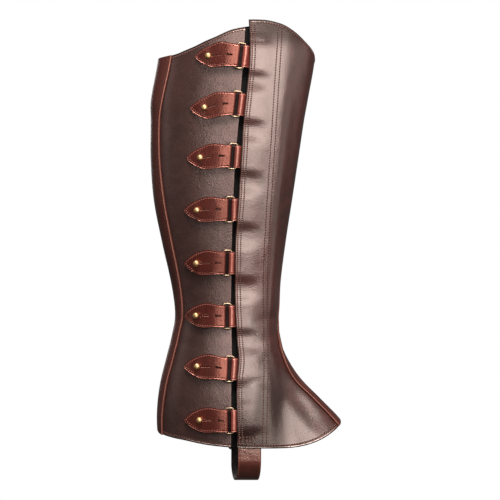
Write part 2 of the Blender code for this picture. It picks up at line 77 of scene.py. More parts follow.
# A place on the leather: an angle in degrees round the leg and a height in millimetres
Place = tuple[float, float]
Line = Callable[[float], float]
Lift = Callable[[float, float], float]
Table = Sequence[Sequence[float]]

# Thicknesses of the leather
PANEL = 2.2
BAND = 1.8
STRAP = 2.0
KEEPER = 1.6
STIRRUP = 2.2
UNDERLAP = 1.4
GAP = 0.3
SEAT_GAP = 0.4

# Sections of the leg form, lowest first. rear and front are the ends of the oval along X and
# half_depth is its half size along Y. rear_band is the angle, either side of the calf, that the
# rear band covers, and front_band the angle of the front band's outer edge. closure is the X of
# the rear panel's free edge, and flap that of the front panel's, which stands out over the closures
# from there to shoulder and has come down to the leg at flat.
SECTION_COLUMNS = ("height", "rear", "front", "half_depth", "rear_band", "front_band", "closure", "flap",
                   "shoulder", "flat")
SECTIONS = (
    (-150, -69.5, 142.0, 35.5, 17, 21, 5.0, 11.0, 38.5, 66.0),
    (-120, -71.4, 118.0, 35.0, 20, 22, 5.2, 11.3, 38.5, 65.0),
    (-99, -70.4, 97.6, 34.0, 23, 23, 5.2, 10.6, 38.5, 63.0),
    (-78, -67.2, 77.0, 32.5, 26, 23, 5.4, 10.8, 39.5, 61.0),
    (-57, -62.0, 63.0, 30.5, 29, 19, 6.0, 12.4, 42.0, 58.5),
    (-36, -56.7, 55.4, 29.0, 30, 9, 5.7, 10.8, 42.6, 52.0),
    (-15, -52.6, 53.4, 28.0, 32, -4, 5.2, 9.5, 42.0, 50.3),
    (0, -52.6, 54.5, 28.0, 33, -8, 4.9, 8.9, 44.0, 53.0),
    (27, -56.8, 56.6, 29.0, 34, -12, 5.3, 8.6, 45.2, 55.5),
    (69, -66.3, 62.6, 31.5, 34, -14, 6.0, 9.2, 47.5, 60.0),
    (111, -74.5, 69.2, 33.5, 33, -14, 7.4, 12.2, 50.0, 65.0),
    (153, -77.8, 75.5, 34.5, 30, -14, 9.4, 15.0, 53.0, 69.5),
    (195, -77.8, 81.8, 34.5, 29, -14, 13.2, 17.6, 56.0, 74.0),
    (216, -77.8, 85.6, 34.0, 33, -14, 14.6, 19.9, 57.5, 78.0),
    (262, -69.9, 93.4, 32.0, 35, -14, 18.0, 24.2, 56.4, 88.0),
    (302, -68.5, 94.5, 31.5, 36, -14, 21.0, 23.6, 59.0, 90.0),
)
SQUARENESS = 2.3

# The wax's refractive index, and the near-black colour of painted shade, laid into the leather under the
# rings, below the straps and on parts of the front panel
WAX_INDEX = 1.8
SHADE_PAINT = "060404"

# Height of the cut edges by angle round the leg: 0 is the shin, 90 the outer side, 180 the calf
EDGE_COLUMNS = ("angle", "height")
FRONT_TOP = ((-14, 256), (0, 261.5), (15, 268), (24, 273), (33, 278.3), (46, 287.8), (57, 295), (66, 298.5),
             (74, 300.3), (90, 300.5))
REST_TOP = ((70, 297.3), (80, 294.8), (92, 290.8), (104, 282.6), (112, 278), (120, 273), (129, 268.8),
            (140, 264.6), (156, 262), (180, 260), (225, 256), (270, 254), (315, 254), (346, 256),
            (360, 261.5))
HEM = ((0, -119.5), (30, -129.8), (46, -137), (57, -142.3), (69, -146.8), (80, -148.6), (95, -148.7),
       (107, -147.5), (120, -145), (134, -141), (144, -139), (156, -136.6), (168, -134), (180, -129.5))

# The hollow of the flare, a shallow valley that runs down towards the toe beside the front band
HOLLOW_X = 82.0
HOLLOW_HEIGHT = -102.0
HOLLOW_WAY = -54.0  # degrees from +X
HOLLOW_REACH = (27.0, 8.5)  # along and across
HOLLOW_DEPTH = 4.7

# Creases of the leather: x, height, the way they run in degrees from +X, half length, half width,
# and depth, which is a ridge if negative. Side -1 is the outer side and 1 the inner.
CREASE_COLUMNS = ("side", "x", "height", "way", "half_length", "half_width", "depth")
CREASES = (
    (-1, 44, -34, 24, 17, 5.0, 0.9),
    (-1, 46, -52, 40, 20, 5.5, 0.8),
    (-1, 40, -14, 12, 12, 4.5, 0.6),
    (-1, 63, -116, 94, 42, 15.0, 3.5),
    (-1, 83, -110, -54, 18, 6.5, 1.3),
    (-1, 52, 312, 0, 34, 26.0, 6.0),
    (-1, 27, -80.5, 4, 18, 4.5, 1.6),
    (-1, 25, -134, 3, 16, 5.0, 1.3),
    (-1, 40, 178, 82, 60, 9.0, -0.6),
    (-1, 56, 96, 80, 46, 8.0, 0.5),
    (-1, -44, 226, 74, 24, 9.0, 0.6),
    (-1, -40, -14, 8, 14, 5.0, 0.7),
    (-1, -44, -40, -12, 14, 6.0, 0.6),
    (1, 34, -30, 20, 22, 5.0, 1.1),
    (1, 20, -8, 4, 18, 5.0, 0.8),
    (1, 48, -56, 38, 22, 6.0, 0.9),
    (1, -30, -26, -10, 20, 6.0, 0.9),
    (1, -20, 150, 78, 50, 12.0, -0.7),
    (1, 30, 110, 84, 60, 10.0, 0.6),
)

# Closures: height of the ring; the turn of the strap and the lean of the ring in degrees, with the
# pointed end and the upper end forwards if positive; how far up the strap bows between the ring and
# the stud; and from the ring's centre to the front panel's free edge, to the stud and to the tip.
CLOSURE_COLUMNS = ("height", "turn", "lean", "bow", "to_flap", "to_stud", "to_tip")
CLOSURES = (
    (262.2, -2.4, 6.5, 1.8, 9.1, 33.5, 46.9),
    (211.6, -10.2, 6.5, 1.4, 8.7, 33.5, 48.3),
    (157.0, -4.3, 4.5, 1.0, 8.6, 33.4, 47.4),
    (101.5, -2.1, 2.0, 0.8, 7.8, 33.6, 46.9),
    (45.6, -1.1, 2.0, 0.6, 7.8, 31.0, 44.3),
    (-10.4, 0.8, 0.0, 0.8, 8.4, 31.0, 44.6),
    (-65.9, 4.0, 3.0, 1.0, 8.5, 32.9, 46.7),
    (-119.9, 1.9, 0.0, 0.6, 7.8, 30.6, 46.8),
)
UNDERLAP_LIFT = -2.8
UNDERLAP_REACH = 9.5
UNDERLAP_WIDTH = 24.0
STRAP_TURNS_AT = 5.5
HALF_STRAP = 11.7
RING_WIRE = 0.8
BUCKLE_WIRE = 1.1
RING_HALF_WIDTH = 4.2
RING_HALF_HEIGHT = 12.8
RING_CORNER = 1.6
RING_ARCH = 0.4
STRAP_BAR_LIFT = SEAT_GAP + STRAP + GAP + RING_WIRE
KEEPER_BAR_LIFT = 3.6
HOLES_APART = 20.0

# The front panel stands out over the keepers' ends. Each pair is full to the first, gone by the second.
FLAP_RISE = 4.0
BUMP = 2.3
BUMP_BELOW = (12.0, 21.5)
BUMP_ABOVE = (12.5, 26.0)
BUMP_REACH = (9.0, 30.0)

# Painted shade on the rear panel: near black under each ring, and a painted shadow below each strap.
RING_SHADE_BESIDE = (3.5, 6.5)  # from the ring's middle, full to gone
RING_SHADE_UP = (11.0, 15.0)  # the same up and down
STRAP_SHADOW_SHARE = 0.5
STRAP_SHADOW_FROM = (-6.0, 2.0)  # behind the ring, none to full
STRAP_SHADOW_TO = (-12.0, 10.0)  # behind the stud, full to gone
STRAP_SHADOW_START = (-4.0, 0.0)  # below the strap's lower edge, none to full
STRAP_SHADOW_END = (2.0, 10.0)  # the same, full to gone

# Painted shade on the front panel as well: along its top edge, and low down beside the flap near its foot
TOP_SHADE = 0.6
TOP_SHADE_HEIGHT = (266.0, 284.0)  # none to full
FOOT_SHADE = 0.7
FOOT_SHADE_BASE = -136.0  # full up to here, at the flap
FOOT_SHADE_RISE = 42.0  # how much higher that is further forwards
FOOT_SHADE_RISES = (26.0, 38.0)  # X from and to which it rises
FOOT_SHADE_FADE = 62.0  # from full to gone, upwards
FOOT_SHADE_X = (56.0, 72.0)  # full to gone, forwards

FRONT_BAND_ANGLE = 34.0

# Stitching
STITCH_FROM_EDGE = 3.2
STITCH_PITCH = 2.8
FLAP_PITCH = 2.3
THREAD_LIFT = 0.1

# The double row beyond the keepers' ends: height and X of its rear row
SECOND_ROW = ((-150, 37.8), (-75, 38.6), (-14, 37.2), (41, 37.8), (105, 41.2), (177, 46.0), (244, 50.6),
              (302, 55.0))
SECOND_ROW_APART = 4.2

# Photograph's frame, 500 by 500: the middle of the picture and the width that it covers
VIEW_MIDDLE = (24.8, 58.9)
VIEW_WIDTH = 527.0
CAMERA_DISTANCE = 5000.0
SENSOR = 36.0

# The soft boxes: where they stand and their size in metres, and their power in watts
LIGHT_COLUMNS = ("name", "place", "size", "power", "colour")
LIGHTS = (
    ("key", (0.87, -2.40, 0.48), (2.5, 1.3), 64.0, "fff8f4"),
    ("top", (0.1, -1.2, 2.1), (1.1, 0.6), 105.0, "fffaf6"),
    ("left", (-2.2, -1.2, 0.8), (0.7, 1.8), 3.0, "ffffff"),
    ("right", (2.0, -0.6, 0.3), (0.6, 1.8), 4.0, "ffffff"),
    ("back", (-0.6, 2.4, 1.0), (1.8, 1.8), 24.0, "ffffff"),
)
LIGHTS_AIM = (0.02, 0.0, 0.06)


class Slot(Enum):
    """The record's material slots."""

    DARK = "dark_leather"
    BROWN = "brown_leather"
    RED = "red_leather"
    BRASS = "brass"


class Held(Enum):
    """How a sheet of leather is held."""

    STRETCHED = "stretched"
    FOLDED = "folded"


def linear(hex_colour: str) -> tuple[float, float, float, float]:
    """Turns an sRGB hex colour into linear values.

    Args:
        hex_colour: six hex digits, such as "7a4b3c".

    Returns:
        Red, green, blue and an alpha of 1.
    """
    parts = [int(hex_colour[i:i + 2], 16) / 255 for i in (0, 2, 4)]
    made = [p / 12.92 if p <= 0.04045 else ((p + 0.055) / 1.055) ** 2.4 for p in parts]
    return (made[0], made[1], made[2], 1.0)


def plug(tree: bpy.types.NodeTree, node: bpy.types.Node, inputs: dict[str | int, Any]) -> None:
    """Sets a node's inputs.

    Args:
        tree: the node tree.
        node: the node.
        inputs: values, or sockets to link, by the input's name or number.
    """
    for name, value in inputs.items():
        if isinstance(value, bpy.types.NodeSocket):
            tree.links.new(value, node.inputs[name])
        else:
            node.inputs[name].default_value = value


def add_node(tree: bpy.types.NodeTree, kind: str, settings: dict[str, Any] | None = None,
             inputs: dict[str | int, Any] | None = None) -> bpy.types.Node:
    """Adds a node to a material or world.

    Args:
        tree: the node tree.
        kind: the node's type name.
        settings: properties to set.
        inputs: values, or sockets to link, by the input's name or number.

    Returns:
        The node.
    """
    made = tree.nodes.new(kind)
    for name, value in (settings or {}).items():
        setattr(made, name, value)
    plug(tree, made, inputs or {})
    return made


def new_material(name: str) -> tuple[bpy.types.Material, bpy.types.NodeTree, bpy.types.Node]:
    """Makes a material with a bare Principled shader.

    Args:
        name: the material's name.

    Returns:
        The material, its tree and its shader.
    """
    made = bpy.data.materials.new(name)
    made.use_nodes = True
    tree = made.node_tree
    return made, tree, tree.nodes["Principled BSDF"]


@dataclass(frozen=True)
class BridleLeather:
    """Vegetable-tanned, dyed and waxed leather: fine grain, cloudy dye and a soft wax shine.

    Attributes:
        name: the material's name.
        colour: the dye.
        deep: the dye where it is darkest.
        glow: the dye where the wax has pulled up and it is lightest.
        line: the crease line pressed along a cut edge, drawn lighter than the dye as a painted highlight of
            the edge.
        rim: the dyed rim, which shows as a dark line.
        roughness: of the waxed face.
        grain: width of one grain cell in millimetres, drawn coarse enough to show.
        line_at: how far the crease line lies from the cut edge, in millimetres.
        line_fade: how far past that it fades out.
        shine: specular level.
        glint: tint of the highlights, from the wax over the dye.
    """

    name: str
    colour: str
    deep: str
    glow: str
    line: str
    rim: str
    roughness: float = 0.42
    grain: float = 1.3
    line_at: float = 1.5
    line_fade: float = 1.0
    shine: float = 0.5
    glint: str = "ffffff"

    def _noises(self, tree: bpy.types.NodeTree, spot: bpy.types.NodeSocket) -> list[bpy.types.NodeSocket]:
        """Noise for the dye's clouds, its blotches and specks, and the leather's slow waves."""
        long = add_node(tree, "ShaderNodeMapping",
                        inputs={"Vector": spot, "Scale": (1.0, 1.0, 0.55)}).outputs[0]
        # Place, size in millimetres, detail and roughness
        rows = ((long, 45.0, 4.0, 0.62), (spot, 10.0, 5.0, 0.65), (spot, self.grain * 1.6, 3.0, 0.5),
                (spot, 11.0, 2.0, 0.5))
        return [add_node(tree, "ShaderNodeTexNoise",
                         inputs={"Vector": at, "Scale": 1 / (size * MM), "Detail": detail,
                                 "Roughness": rough}).outputs["Fac"]
                for at, size, detail, rough in rows]

    def build(self) -> bpy.types.Material:
        """Makes the material."""
        made, tree, shader = new_material(self.name)
        spot = add_node(tree, "ShaderNodeTexCoord").outputs["Object"]
        edge, rubbed = [add_node(tree, "ShaderNodeAttribute", {"attribute_name": name}).outputs["Fac"]
                        for name in ("edge_mm", "rubbed")]
        cloud, blotch, speck, wave = self._noises(tree, spot)
        tone = add_node(tree, "ShaderNodeValToRGB", inputs={0: cloud})
        stops = tone.color_ramp.elements
        for stop, position, colour in ((stops[0], 0.30, self.deep), (stops[1], 0.74, self.glow)):
            stop.position = position
            stop.color = linear(colour)
        stops.new(0.5).color = linear(self.colour)

        past = self.line_at + 0.3
        # What is read, from and to which value, what that becomes, and how it eases
        rows = ((blotch, 0.42, 0.68, 0.0, 0.6, "LINEAR"),
                (speck, 0.42, 0.72, 0.0, 0.55, "LINEAR"),
                (edge, self.line_at - 0.7, self.line_at, 0.0, 1.0, "SMOOTHSTEP"),
                (edge, past, past + self.line_fade, 1.0, 0.0, "SMOOTHSTEP"),
                (cloud, 0.3, 0.7, 0.45, 0.95, "LINEAR"),
                (edge, self.line_at - 0.9, self.line_at - 0.3, 0.85, 0.0, "SMOOTHSTEP"),
                (cloud, 0.3, 0.7, self.roughness + 0.06, self.roughness - 0.05, "LINEAR"))
        blotched, specked, line_in, line_out, uneven, rimmed, rough = [
            add_node(tree, "ShaderNodeMapRange", {"interpolation_type": easing},
                     {0: read, 1: low, 2: high, 3: start, 4: end}).outputs[0]
            for read, low, high, start, end, easing in rows]
        # The crease line: its bump is the pressed crease, and its light colour is a painted highlight of the
        # cut edge
        line = add_node(tree, "ShaderNodeMath", {"operation": "MULTIPLY"},
                        {0: line_in, 1: line_out}).outputs[0]
        lined = add_node(tree, "ShaderNodeMath", {"operation": "MULTIPLY"}, {0: line, 1: uneven}).outputs[0]
        dye = tone.outputs[0]
        # The last mix lays in painted shade, near black, where the per-point attribute asks for it
        for share, colour in ((blotched, self.glow), (specked, self.deep), (lined, self.line),
                              (rimmed, self.rim), (rubbed, SHADE_PAINT)):
            dye = add_node(tree, "ShaderNodeMix", {"data_type": "RGBA"},
                           {0: share, 6: dye, 7: linear(colour)}).outputs[2]

        cells = add_node(tree, "ShaderNodeTexVoronoi", {"feature": "SMOOTH_F1"},
                         {"Vector": spot, "Scale": 1 / (self.grain * MM),
                          "Smoothness": 0.6}).outputs["Distance"]
        below = {}
        for height, strength, depth, pressed in ((cells, 0.28, 0.4, False), (wave, 0.2, 1.2, False),
                                                 (line, 0.6, 0.6, True)):
            bump = add_node(tree, "ShaderNodeBump", {"invert": pressed},
                            {"Strength": strength, "Distance": depth * MM, "Height": height, **below})
            below = {"Normal": bump.outputs[0]}
        # Where shade is painted, and on the dark rim, the shine is taken away as well
        dull = add_node(tree, "ShaderNodeMath", {"operation": "MAXIMUM"}, {0: rubbed, 1: rimmed}).outputs[0]
        gloss = add_node(tree, "ShaderNodeMapRange", inputs={0: dull, 1: 0.0, 2: 1.0, 3: self.shine, 4: 0.05})
        plug(tree, shader, {"Base Color": dye, "Roughness": rough, "Specular IOR Level": gloss.outputs[0],
                            "IOR": WAX_INDEX, "Specular Tint": linear(self.glint), **below})
        return made


@dataclass(frozen=True)
class TwoTone:
    """A finish whose colour drifts between two on fine noise.

    Attributes:
        name: the material's name.
        colour: the first colour.
        shade: the second colour.
        roughness: of the surface.
        noise: the noise's size in millimetres and its detail.
        share: from and to which noise the second colour comes in, and its share there.
    """

    name: str
    colour: str
    shade: str
    roughness: float = 0.9
    noise: ClassVar[tuple[float, float]] = (1.0, 1.0)
    share: ClassVar[tuple[float, float, float]] = (0.0, 1.0, 1.0)

    def surface(self, tree: bpy.types.NodeTree, noise: bpy.types.NodeSocket) -> dict[str, Any]:
        """The shader's inputs, apart from its colour."""
        return {"Roughness": self.roughness}

    def build(self) -> bpy.types.Material:
        """Makes the material."""
        made, tree, shader = new_material(self.name)
        spot = add_node(tree, "ShaderNodeTexCoord").outputs["Object"]
        size, detail = self.noise
        noise = add_node(tree, "ShaderNodeTexNoise",
                         inputs={"Vector": spot, "Scale": 1 / (size * MM), "Detail": detail}).outputs["Fac"]
        low, high, most = self.share
        share = add_node(tree, "ShaderNodeMapRange", inputs={0: noise, 1: low, 2: high, 3: 0.0, 4: most})
        mixed = add_node(tree, "ShaderNodeMix", {"data_type": "RGBA"},
                         {0: share.outputs[0], 6: linear(self.colour), 7: linear(self.shade)})
        plug(tree, shader, {"Base Color": mixed.outputs[2], **self.surface(tree, noise)})
        return made


@dataclass(frozen=True)
class FleshSide(TwoTone):
    """The unfinished inner face of the hide: matt, fibrous and a little lighter than the dye."""

    noise: ClassVar[tuple[float, float]] = (1.6, 5.0)

    def surface(self, tree: bpy.types.NodeTree, noise: bpy.types.NodeSocket) -> dict[str, Any]:
        """The shader's inputs, with a raised nap."""
        nap = add_node(tree, "ShaderNodeBump", inputs={"Strength": 0.5, "Distance": 0.0005, "Height": noise})
        return {"Roughness": self.roughness, "Sheen Weight": 0.25, "Normal": nap.outputs[0]}


@dataclass(frozen=True)
class CutEdge(TwoTone):
    """The rim of the hide. Burnished it is dyed dark and smooth, and raw it shows tan fibre."""

    noise: ClassVar[tuple[float, float]] = (2.4, 3.0)

    def surface(self, tree: bpy.types.NodeTree, noise: bpy.types.NodeSocket) -> dict[str, Any]:
        """The shader's inputs, with little shine."""
        return {"Roughness": self.roughness, "Specular IOR Level": 0.25}


@dataclass(frozen=True)
class WaxedThread(TwoTone):
    """Bonded and waxed thread, with its twist drawn at 0.5 mm."""

    roughness: float = 0.55
    noise: ClassVar[tuple[float, float]] = (0.5, 1.0)


@dataclass(frozen=True)
class Brass(TwoTone):
    """Brass worn by use: drawn wire is paler and a turned stud is yellower."""

    noise: ClassVar[tuple[float, float]] = (4.0, 4.0)
    share: ClassVar[tuple[float, float, float]] = (0.45, 0.75, 0.7)

    def surface(self, tree: bpy.types.NodeTree, noise: bpy.types.NodeSocket) -> dict[str, Any]:
        """The shader's inputs: metal, rougher where it has tarnished."""
        rough = add_node(tree, "ShaderNodeMapRange",
                         inputs={0: noise, 1: 0.3, 2: 0.8, 3: self.roughness - 0.06,
                                 4: self.roughness + 0.14})
        return {"Roughness": rough.outputs[0], "Metallic": 1.0}


DARK_HIDE = BridleLeather("bridle_leather_dark", "2a1916", "1e100e", "382320", "5c443d", "120b0a",
                          roughness=0.31, line_at=2.0, shine=0.45, glint="ffe0d8")
BROWN_HIDE = BridleLeather("bridle_leather_brown", "391915", "270f0c", "4a2521", "6c463c", "1a0d0c",
                           roughness=0.31, line_at=1.7, shine=0.66, glint="fff0e8")
BAND_HIDE = BridleLeather("bridle_leather_band", "3e1c18", "2e130f", "4c2520", "b87868", "4a2820",
                          roughness=0.42, line_at=0.2, line_fade=0.3, shine=0.4, glint="ffc8b8")
RED_HIDE = BridleLeather("bridle_leather_chestnut", "35110e", "240c09", "451b17", "5c2e26", "240c0a",
                         roughness=0.28, line_at=0.8, shine=0.7, glint="f8a490")
# The keepers' chestnut, dyed lighter than the straps': a painted highlight for the light on their bends
KEEPER_HIGHLIT_HIDE = BridleLeather("bridle_leather_keeper_painted_highlight", "6a2a22", "4c1c16", "80382f", "9a584c", "3a1511",
                            roughness=0.33, line_at=0.8, shine=1.0, glint="ffc4b2")
STIRRUP_HIDE = BridleLeather("bridle_leather_stirrup", "451812", "30100c", "56241c", "7e4238", "2c100d",
                             roughness=0.3, line_at=0.8, shine=0.9, glint="ffd4c4")
# Near black and matt: the underlap's leather paints the shade in the gap beside the flap
UNDERLAP_SHADE_HIDE = BridleLeather("underlap_leather", "050303", "030202", "070505", "050303", "030202",
                           roughness=0.9, shine=0.1)
FLESH = FleshSide("hide_flesh_side", "4b352b", "65493c")
# A near-black copy of the flesh side: painted shade for the stirrup's far leg
SHADED_FLESH = FleshSide("hide_flesh_worn", "1a110f", "281a16")
DARK_EDGE = CutEdge("burnished_edge", "140c0b", "1e1211", 0.6)
RAW_EDGE = CutEdge("raw_edge", "64382e", "40201a", 0.8)
RED_EDGE = CutEdge("chestnut_edge", "431a14", "5e2c24", 0.5)
THREAD = WaxedThread("waxed_thread", "7a4e44", "4e2c26")
FLAP_THREAD = WaxedThread("waxed_thread_flap", "96685c", "6a423a")
BAND_THREAD = WaxedThread("waxed_thread_band", "5a302a", "3e1e1a")
RED_THREAD = WaxedThread("waxed_thread_red", "9a5548", "6a3028")
# Dark bodies over the needle holes: painted shade for the holes
HOLE_SHADE = CutEdge("needle_hole_painted_shade", "0c0504", "180a08", 0.9)
WIRE_BRASS = Brass("drawn_brass", "a08c74", "64533f", 0.38)
STUD_BRASS = Brass("turned_brass", "d8b07e", "a47c4c", 0.42)


@lru_cache(maxsize=None)
def material_of(finish: Any) -> bpy.types.Material:
    """The material of a finish, made once."""
    return finish.build()


def smooth(rows: Table, columns: Sequence[str], name: str, at: float) -> float:
    """Reads a table on a smooth curve through its rows.

    Args:
        rows: the table, with its first column rising.
        columns: the names of the columns.
        name: the column to read.
        at: the value of the first column.

    Returns:
        The column's value there.
    """
    keys = [row[0] for row in rows]
    values = [row[columns.index(name)] for row in rows]
    at = min(max(at, keys[0]), keys[-1])
    last = len(keys) - 1
    i = min(max(sum(key <= at for key in keys) - 1, 0), last - 1)

    def slope(k: int) -> float:
        low, high = max(k - 1, 0), min(k + 1, last)
        return (values[high] - values[low]) / (keys[high] - keys[low])

    span = keys[i + 1] - keys[i]
    t = (at - keys[i]) / span
    start = (1 + 2 * t) * (1 - t) ** 2 * values[i] + t * (1 - t) ** 2 * span * slope(i)
    end = t * t * (3 - 2 * t) * values[i + 1] - t * t * (1 - t) * span * slope(i + 1)
    return start + end


@lru_cache(maxsize=None)
def section(name: str, height: float) -> float:
    """A column of the section table at a height."""
    return smooth(SECTIONS, SECTION_COLUMNS, name, height)


def rising(value: float, start: float, end: float) -> float:
    """0 up to the start, 1 from the end on, and a smooth step between."""
    t = min(max((value - start) / (end - start), 0.0), 1.0)
    return t * t * (3 - 2 * t)


def fading(value: float, start: float, end: float) -> float:
    """1 up to the start, 0 from the end on, and a smooth step between."""
    return 1 - rising(value, start, end)


def levelled(along: float, end: float, blend: float = 7.0) -> float:
    """A distance that stops growing at an end, with a smooth bend there."""
    over = min(max(along - end + blend, 0.0), 2 * blend)
    return min(along, end + blend) - over * over / (4 * blend)


def signed_power(value: float, power: float) -> float:
    """A power that keeps the sign."""
    return math.copysign(abs(value) ** power, value)


def skin(angle: float, height: float) -> Vector:
    """A point of the leg form, at an angle in degrees round it."""
    height = round(height, 3)
    rear, front = section("rear", height), section("front", height)
    turn = math.radians(angle)
    x = (front + rear) / 2 + (front - rear) / 2 * signed_power(math.cos(turn), 2 / SQUARENESS)
    y = -section("half_depth", height) * signed_power(math.sin(turn), 2 / SQUARENESS)
    way = math.radians(HOLLOW_WAY)
    dx, dz = x - HOLLOW_X, height - HOLLOW_HEIGHT
    along, across = dx * math.cos(way) + dz * math.sin(way), dz * math.cos(way) - dx * math.sin(way)
    away = (along / HOLLOW_REACH[0]) ** 2 + (across / HOLLOW_REACH[1]) ** 2
    y -= signed_power(y, 0.5) / 6 * HOLLOW_DEPTH * math.exp(-away)
    return Vector((x, y, height))


def angle_at(x: float, height: float) -> float:
    """The angle, on the outer side, where the form has this X."""
    height = round(height, 3)
    rear, front = section("rear", height), section("front", height)
    share = min(max((2 * x - front - rear) / (front - rear), -1.0), 1.0)
    return math.degrees(math.acos(signed_power(share, SQUARENESS / 2)))


def normal_at(angle: float, height: float) -> Vector:
    """The form's outward normal."""
    step = 0.5
    round_it = skin(angle + step, height) - skin(angle - step, height)
    up_it = skin(angle, height + step) - skin(angle, height - step)
    return up_it.cross(round_it).normalized()


def crease_lift(angle: float, height: float) -> float:
    """How far the creases move the leather in or out."""
    point = skin(angle, height)
    total = 0.0
    for side, x, middle, way, half_length, half_width, depth in CREASES:
        if side * point.y < 0:
            continue
        turn = math.radians(way)
        dx, dz = point.x - x, height - middle
        along = dx * math.cos(turn) + dz * math.sin(turn)
        across = -dx * math.sin(turn) + dz * math.cos(turn) + 0.004 * along * along
        total -= depth * math.exp(-((along / half_length) ** 2) - (across / half_width) ** 2)
    return total


def lifted(angle: float, height: float, lift: float) -> Vector:
    """A point of the form moved out along its normal."""
    return skin(angle, height) + normal_at(angle, height) * lift


def side_point(side: int, x: float, height: float, lift: float) -> Vector:
    """A point over the outer (-1) or inner (1) side, given by its X and height."""
    point = lifted(angle_at(x, height), height, lift)
    return Vector((point.x, -side * point.y, point.z))


def flap_edge(height: float) -> float:
    """The X of the front panel's free edge."""
    return section("flap", round(height, 3))


def flap_lift(angle: float, height: float) -> float:
    """How far the front panel stands off the form: over the closures, and most over each keeper."""
    if angle <= 0:
        return 0.0
    height = round(height, 3)
    x = skin(angle, height).x
    rise = FLAP_RISE * fading(x, section("shoulder", height), section("flat", height))
    from_edge = x - flap_edge(height)
    along = fading(from_edge, *BUMP_REACH)
    for ring_height, _, lean, _, to_flap, _, _ in CLOSURES:
        off = height - ring_height + (from_edge + to_flap) * math.sin(math.radians(lean))
        rise += BUMP * along * fading(abs(off), *(BUMP_ABOVE if off > 0 else BUMP_BELOW))
    return rise


def under_ring(point: Vector) -> float:
    """Painted shade on the rear panel: near black under each ring, and a painted shadow below each strap."""
    total = 0.0
    for ring_height, turn, lean, _, to_flap, to_stud, _ in CLOSURES:
        up = point.z - ring_height
        behind = flap_edge(ring_height) - to_flap - point.x
        beside = abs(behind + up * math.sin(math.radians(lean)))
        total += fading(beside, *RING_SHADE_BESIDE) * fading(abs(up), *RING_SHADE_UP)
        below = -up + behind * math.sin(math.radians(turn)) - HALF_STRAP
        along = rising(behind, *STRAP_SHADOW_FROM) * fading(behind - to_stud, *STRAP_SHADOW_TO)
        total += STRAP_SHADOW_SHARE * along * rising(below, *STRAP_SHADOW_START) * fading(below, *STRAP_SHADOW_END)
    return min(total, 1.0)


def front_shade(point: Vector) -> float:
    """Painted shade on the outer front panel: along its top edge, and low down beside the flap."""
    top = TOP_SHADE * rising(point.z, *TOP_SHADE_HEIGHT)
    up = point.z - FOOT_SHADE_BASE - FOOT_SHADE_RISE * rising(point.x, *FOOT_SHADE_RISES)
    low = FOOT_SHADE * fading(up, 0.0, FOOT_SHADE_FADE) * fading(point.x, *FOOT_SHADE_X)
    return max(top, low) if point.y < 0 else 0.0


def top_at(rows: Table, angle: float) -> float:
    """Height of a top edge at an angle."""
    return smooth(rows, EDGE_COLUMNS, "height", angle)


def hem_at(angle: float) -> float:
    """Height of the hem at an angle."""
    around = abs((angle + 180) % 360 - 180)
    return smooth(HEM, EDGE_COLUMNS, "height", around)


def between(first: Line, last: Line, share: float) -> Line:
    """A line up the leg between two others."""
    return lambda height: first(height) + (last(height) - first(height)) * share


def lines(first: Line, last: Line, shares: Iterable[float]) -> list[Line]:
    """Lines up the leg at shares of the way from first to last."""
    return [between(first, last, share) for share in shares]


def even(count: int) -> list[float]:
    """Shares from 0 up to but not with 1."""
    return [i / count for i in range(count)]


def shifted(edge: Line, millimetres: float) -> Line:
    """A line moved round the form by a small distance."""
    def moved(height: float) -> float:
        angle = edge(height)
        per_degree = (skin(angle + 0.5, height) - skin(angle - 0.5, height)).length
        return angle + millimetres / per_degree
    return moved


def rear_band_edge(side: int) -> Line:
    """The rear band's edge on the outer (-1) or inner (1) side."""
    return lambda height: 180 + side * section("rear_band", round(height, 3))


def front_band_edge(height: float) -> float:
    """The front band's edge on the outer side."""
    return section("front_band", round(height, 3))


def front_band_far(height: float) -> float:
    """The front band's edge on the inner side."""
    return front_band_edge(height) - FRONT_BAND_ANGLE


def front_seam(height: float) -> float:
    """The seam under the front band."""
    return front_band_edge(height) - FRONT_BAND_ANGLE / 2


def a_turn_on(edge: Line) -> Line:
    """The same line, counted on past the calf."""
    return lambda height: edge(height) + 360


def calf_seam(height: float) -> float:
    """The seam under the rear band."""
    return 180.0


def level(lift: float) -> Lift:
    """A lift that is the same everywhere."""
    return lambda angle, height: lift


def select_only(obj: bpy.types.Object) -> None:
    """Makes an object the one that is selected and active."""
    bpy.ops.object.select_all(action="DESELECT")
    obj.select_set(True)
    bpy.context.view_layer.objects.active = obj


@contextmanager
def editing(obj: bpy.types.Object) -> Iterator[None]:
    """Opens an object in edit mode with all of it selected, and closes it again."""
    select_only(obj)
    bpy.ops.object.mode_set(mode="EDIT")
    bpy.ops.mesh.select_all(action="SELECT")
    yield
    bpy.ops.object.mode_set(mode="OBJECT")


def apply_modifiers(obj: bpy.types.Object) -> None:
    """Applies all of an object's modifiers in order."""
    select_only(obj)
    for modifier in list(obj.modifiers):
        bpy.ops.object.modifier_apply(modifier=modifier.name)


def smooth_shade(obj: bpy.types.Object, angle: float = 40.0) -> None:
    """Shades an object smooth, but for edges sharper than an angle in degrees."""
    select_only(obj)
    bpy.ops.object.shade_smooth_by_angle(angle=math.radians(angle))


def mesh_object(name: str, points: Sequence[Vector], faces: Sequence[Sequence[int]],
                materials: Sequence[bpy.types.Material]) -> bpy.types.Object:
    """Makes an object from points in millimetres.

    Args:
        name: the object's name.
        points: the vertices.
        faces: their numbers, face by face.
        materials: the material slots.

    Returns:
        The object, linked to the scene.
    """
    mesh = bpy.data.meshes.new(name)
    mesh.from_pydata([tuple(point * MM) for point in points], [], [tuple(face) for face in faces])
    for material in materials:
        mesh.materials.append(material)
    made = bpy.data.objects.new(name, mesh)
    bpy.context.scene.collection.objects.link(made)
    return made


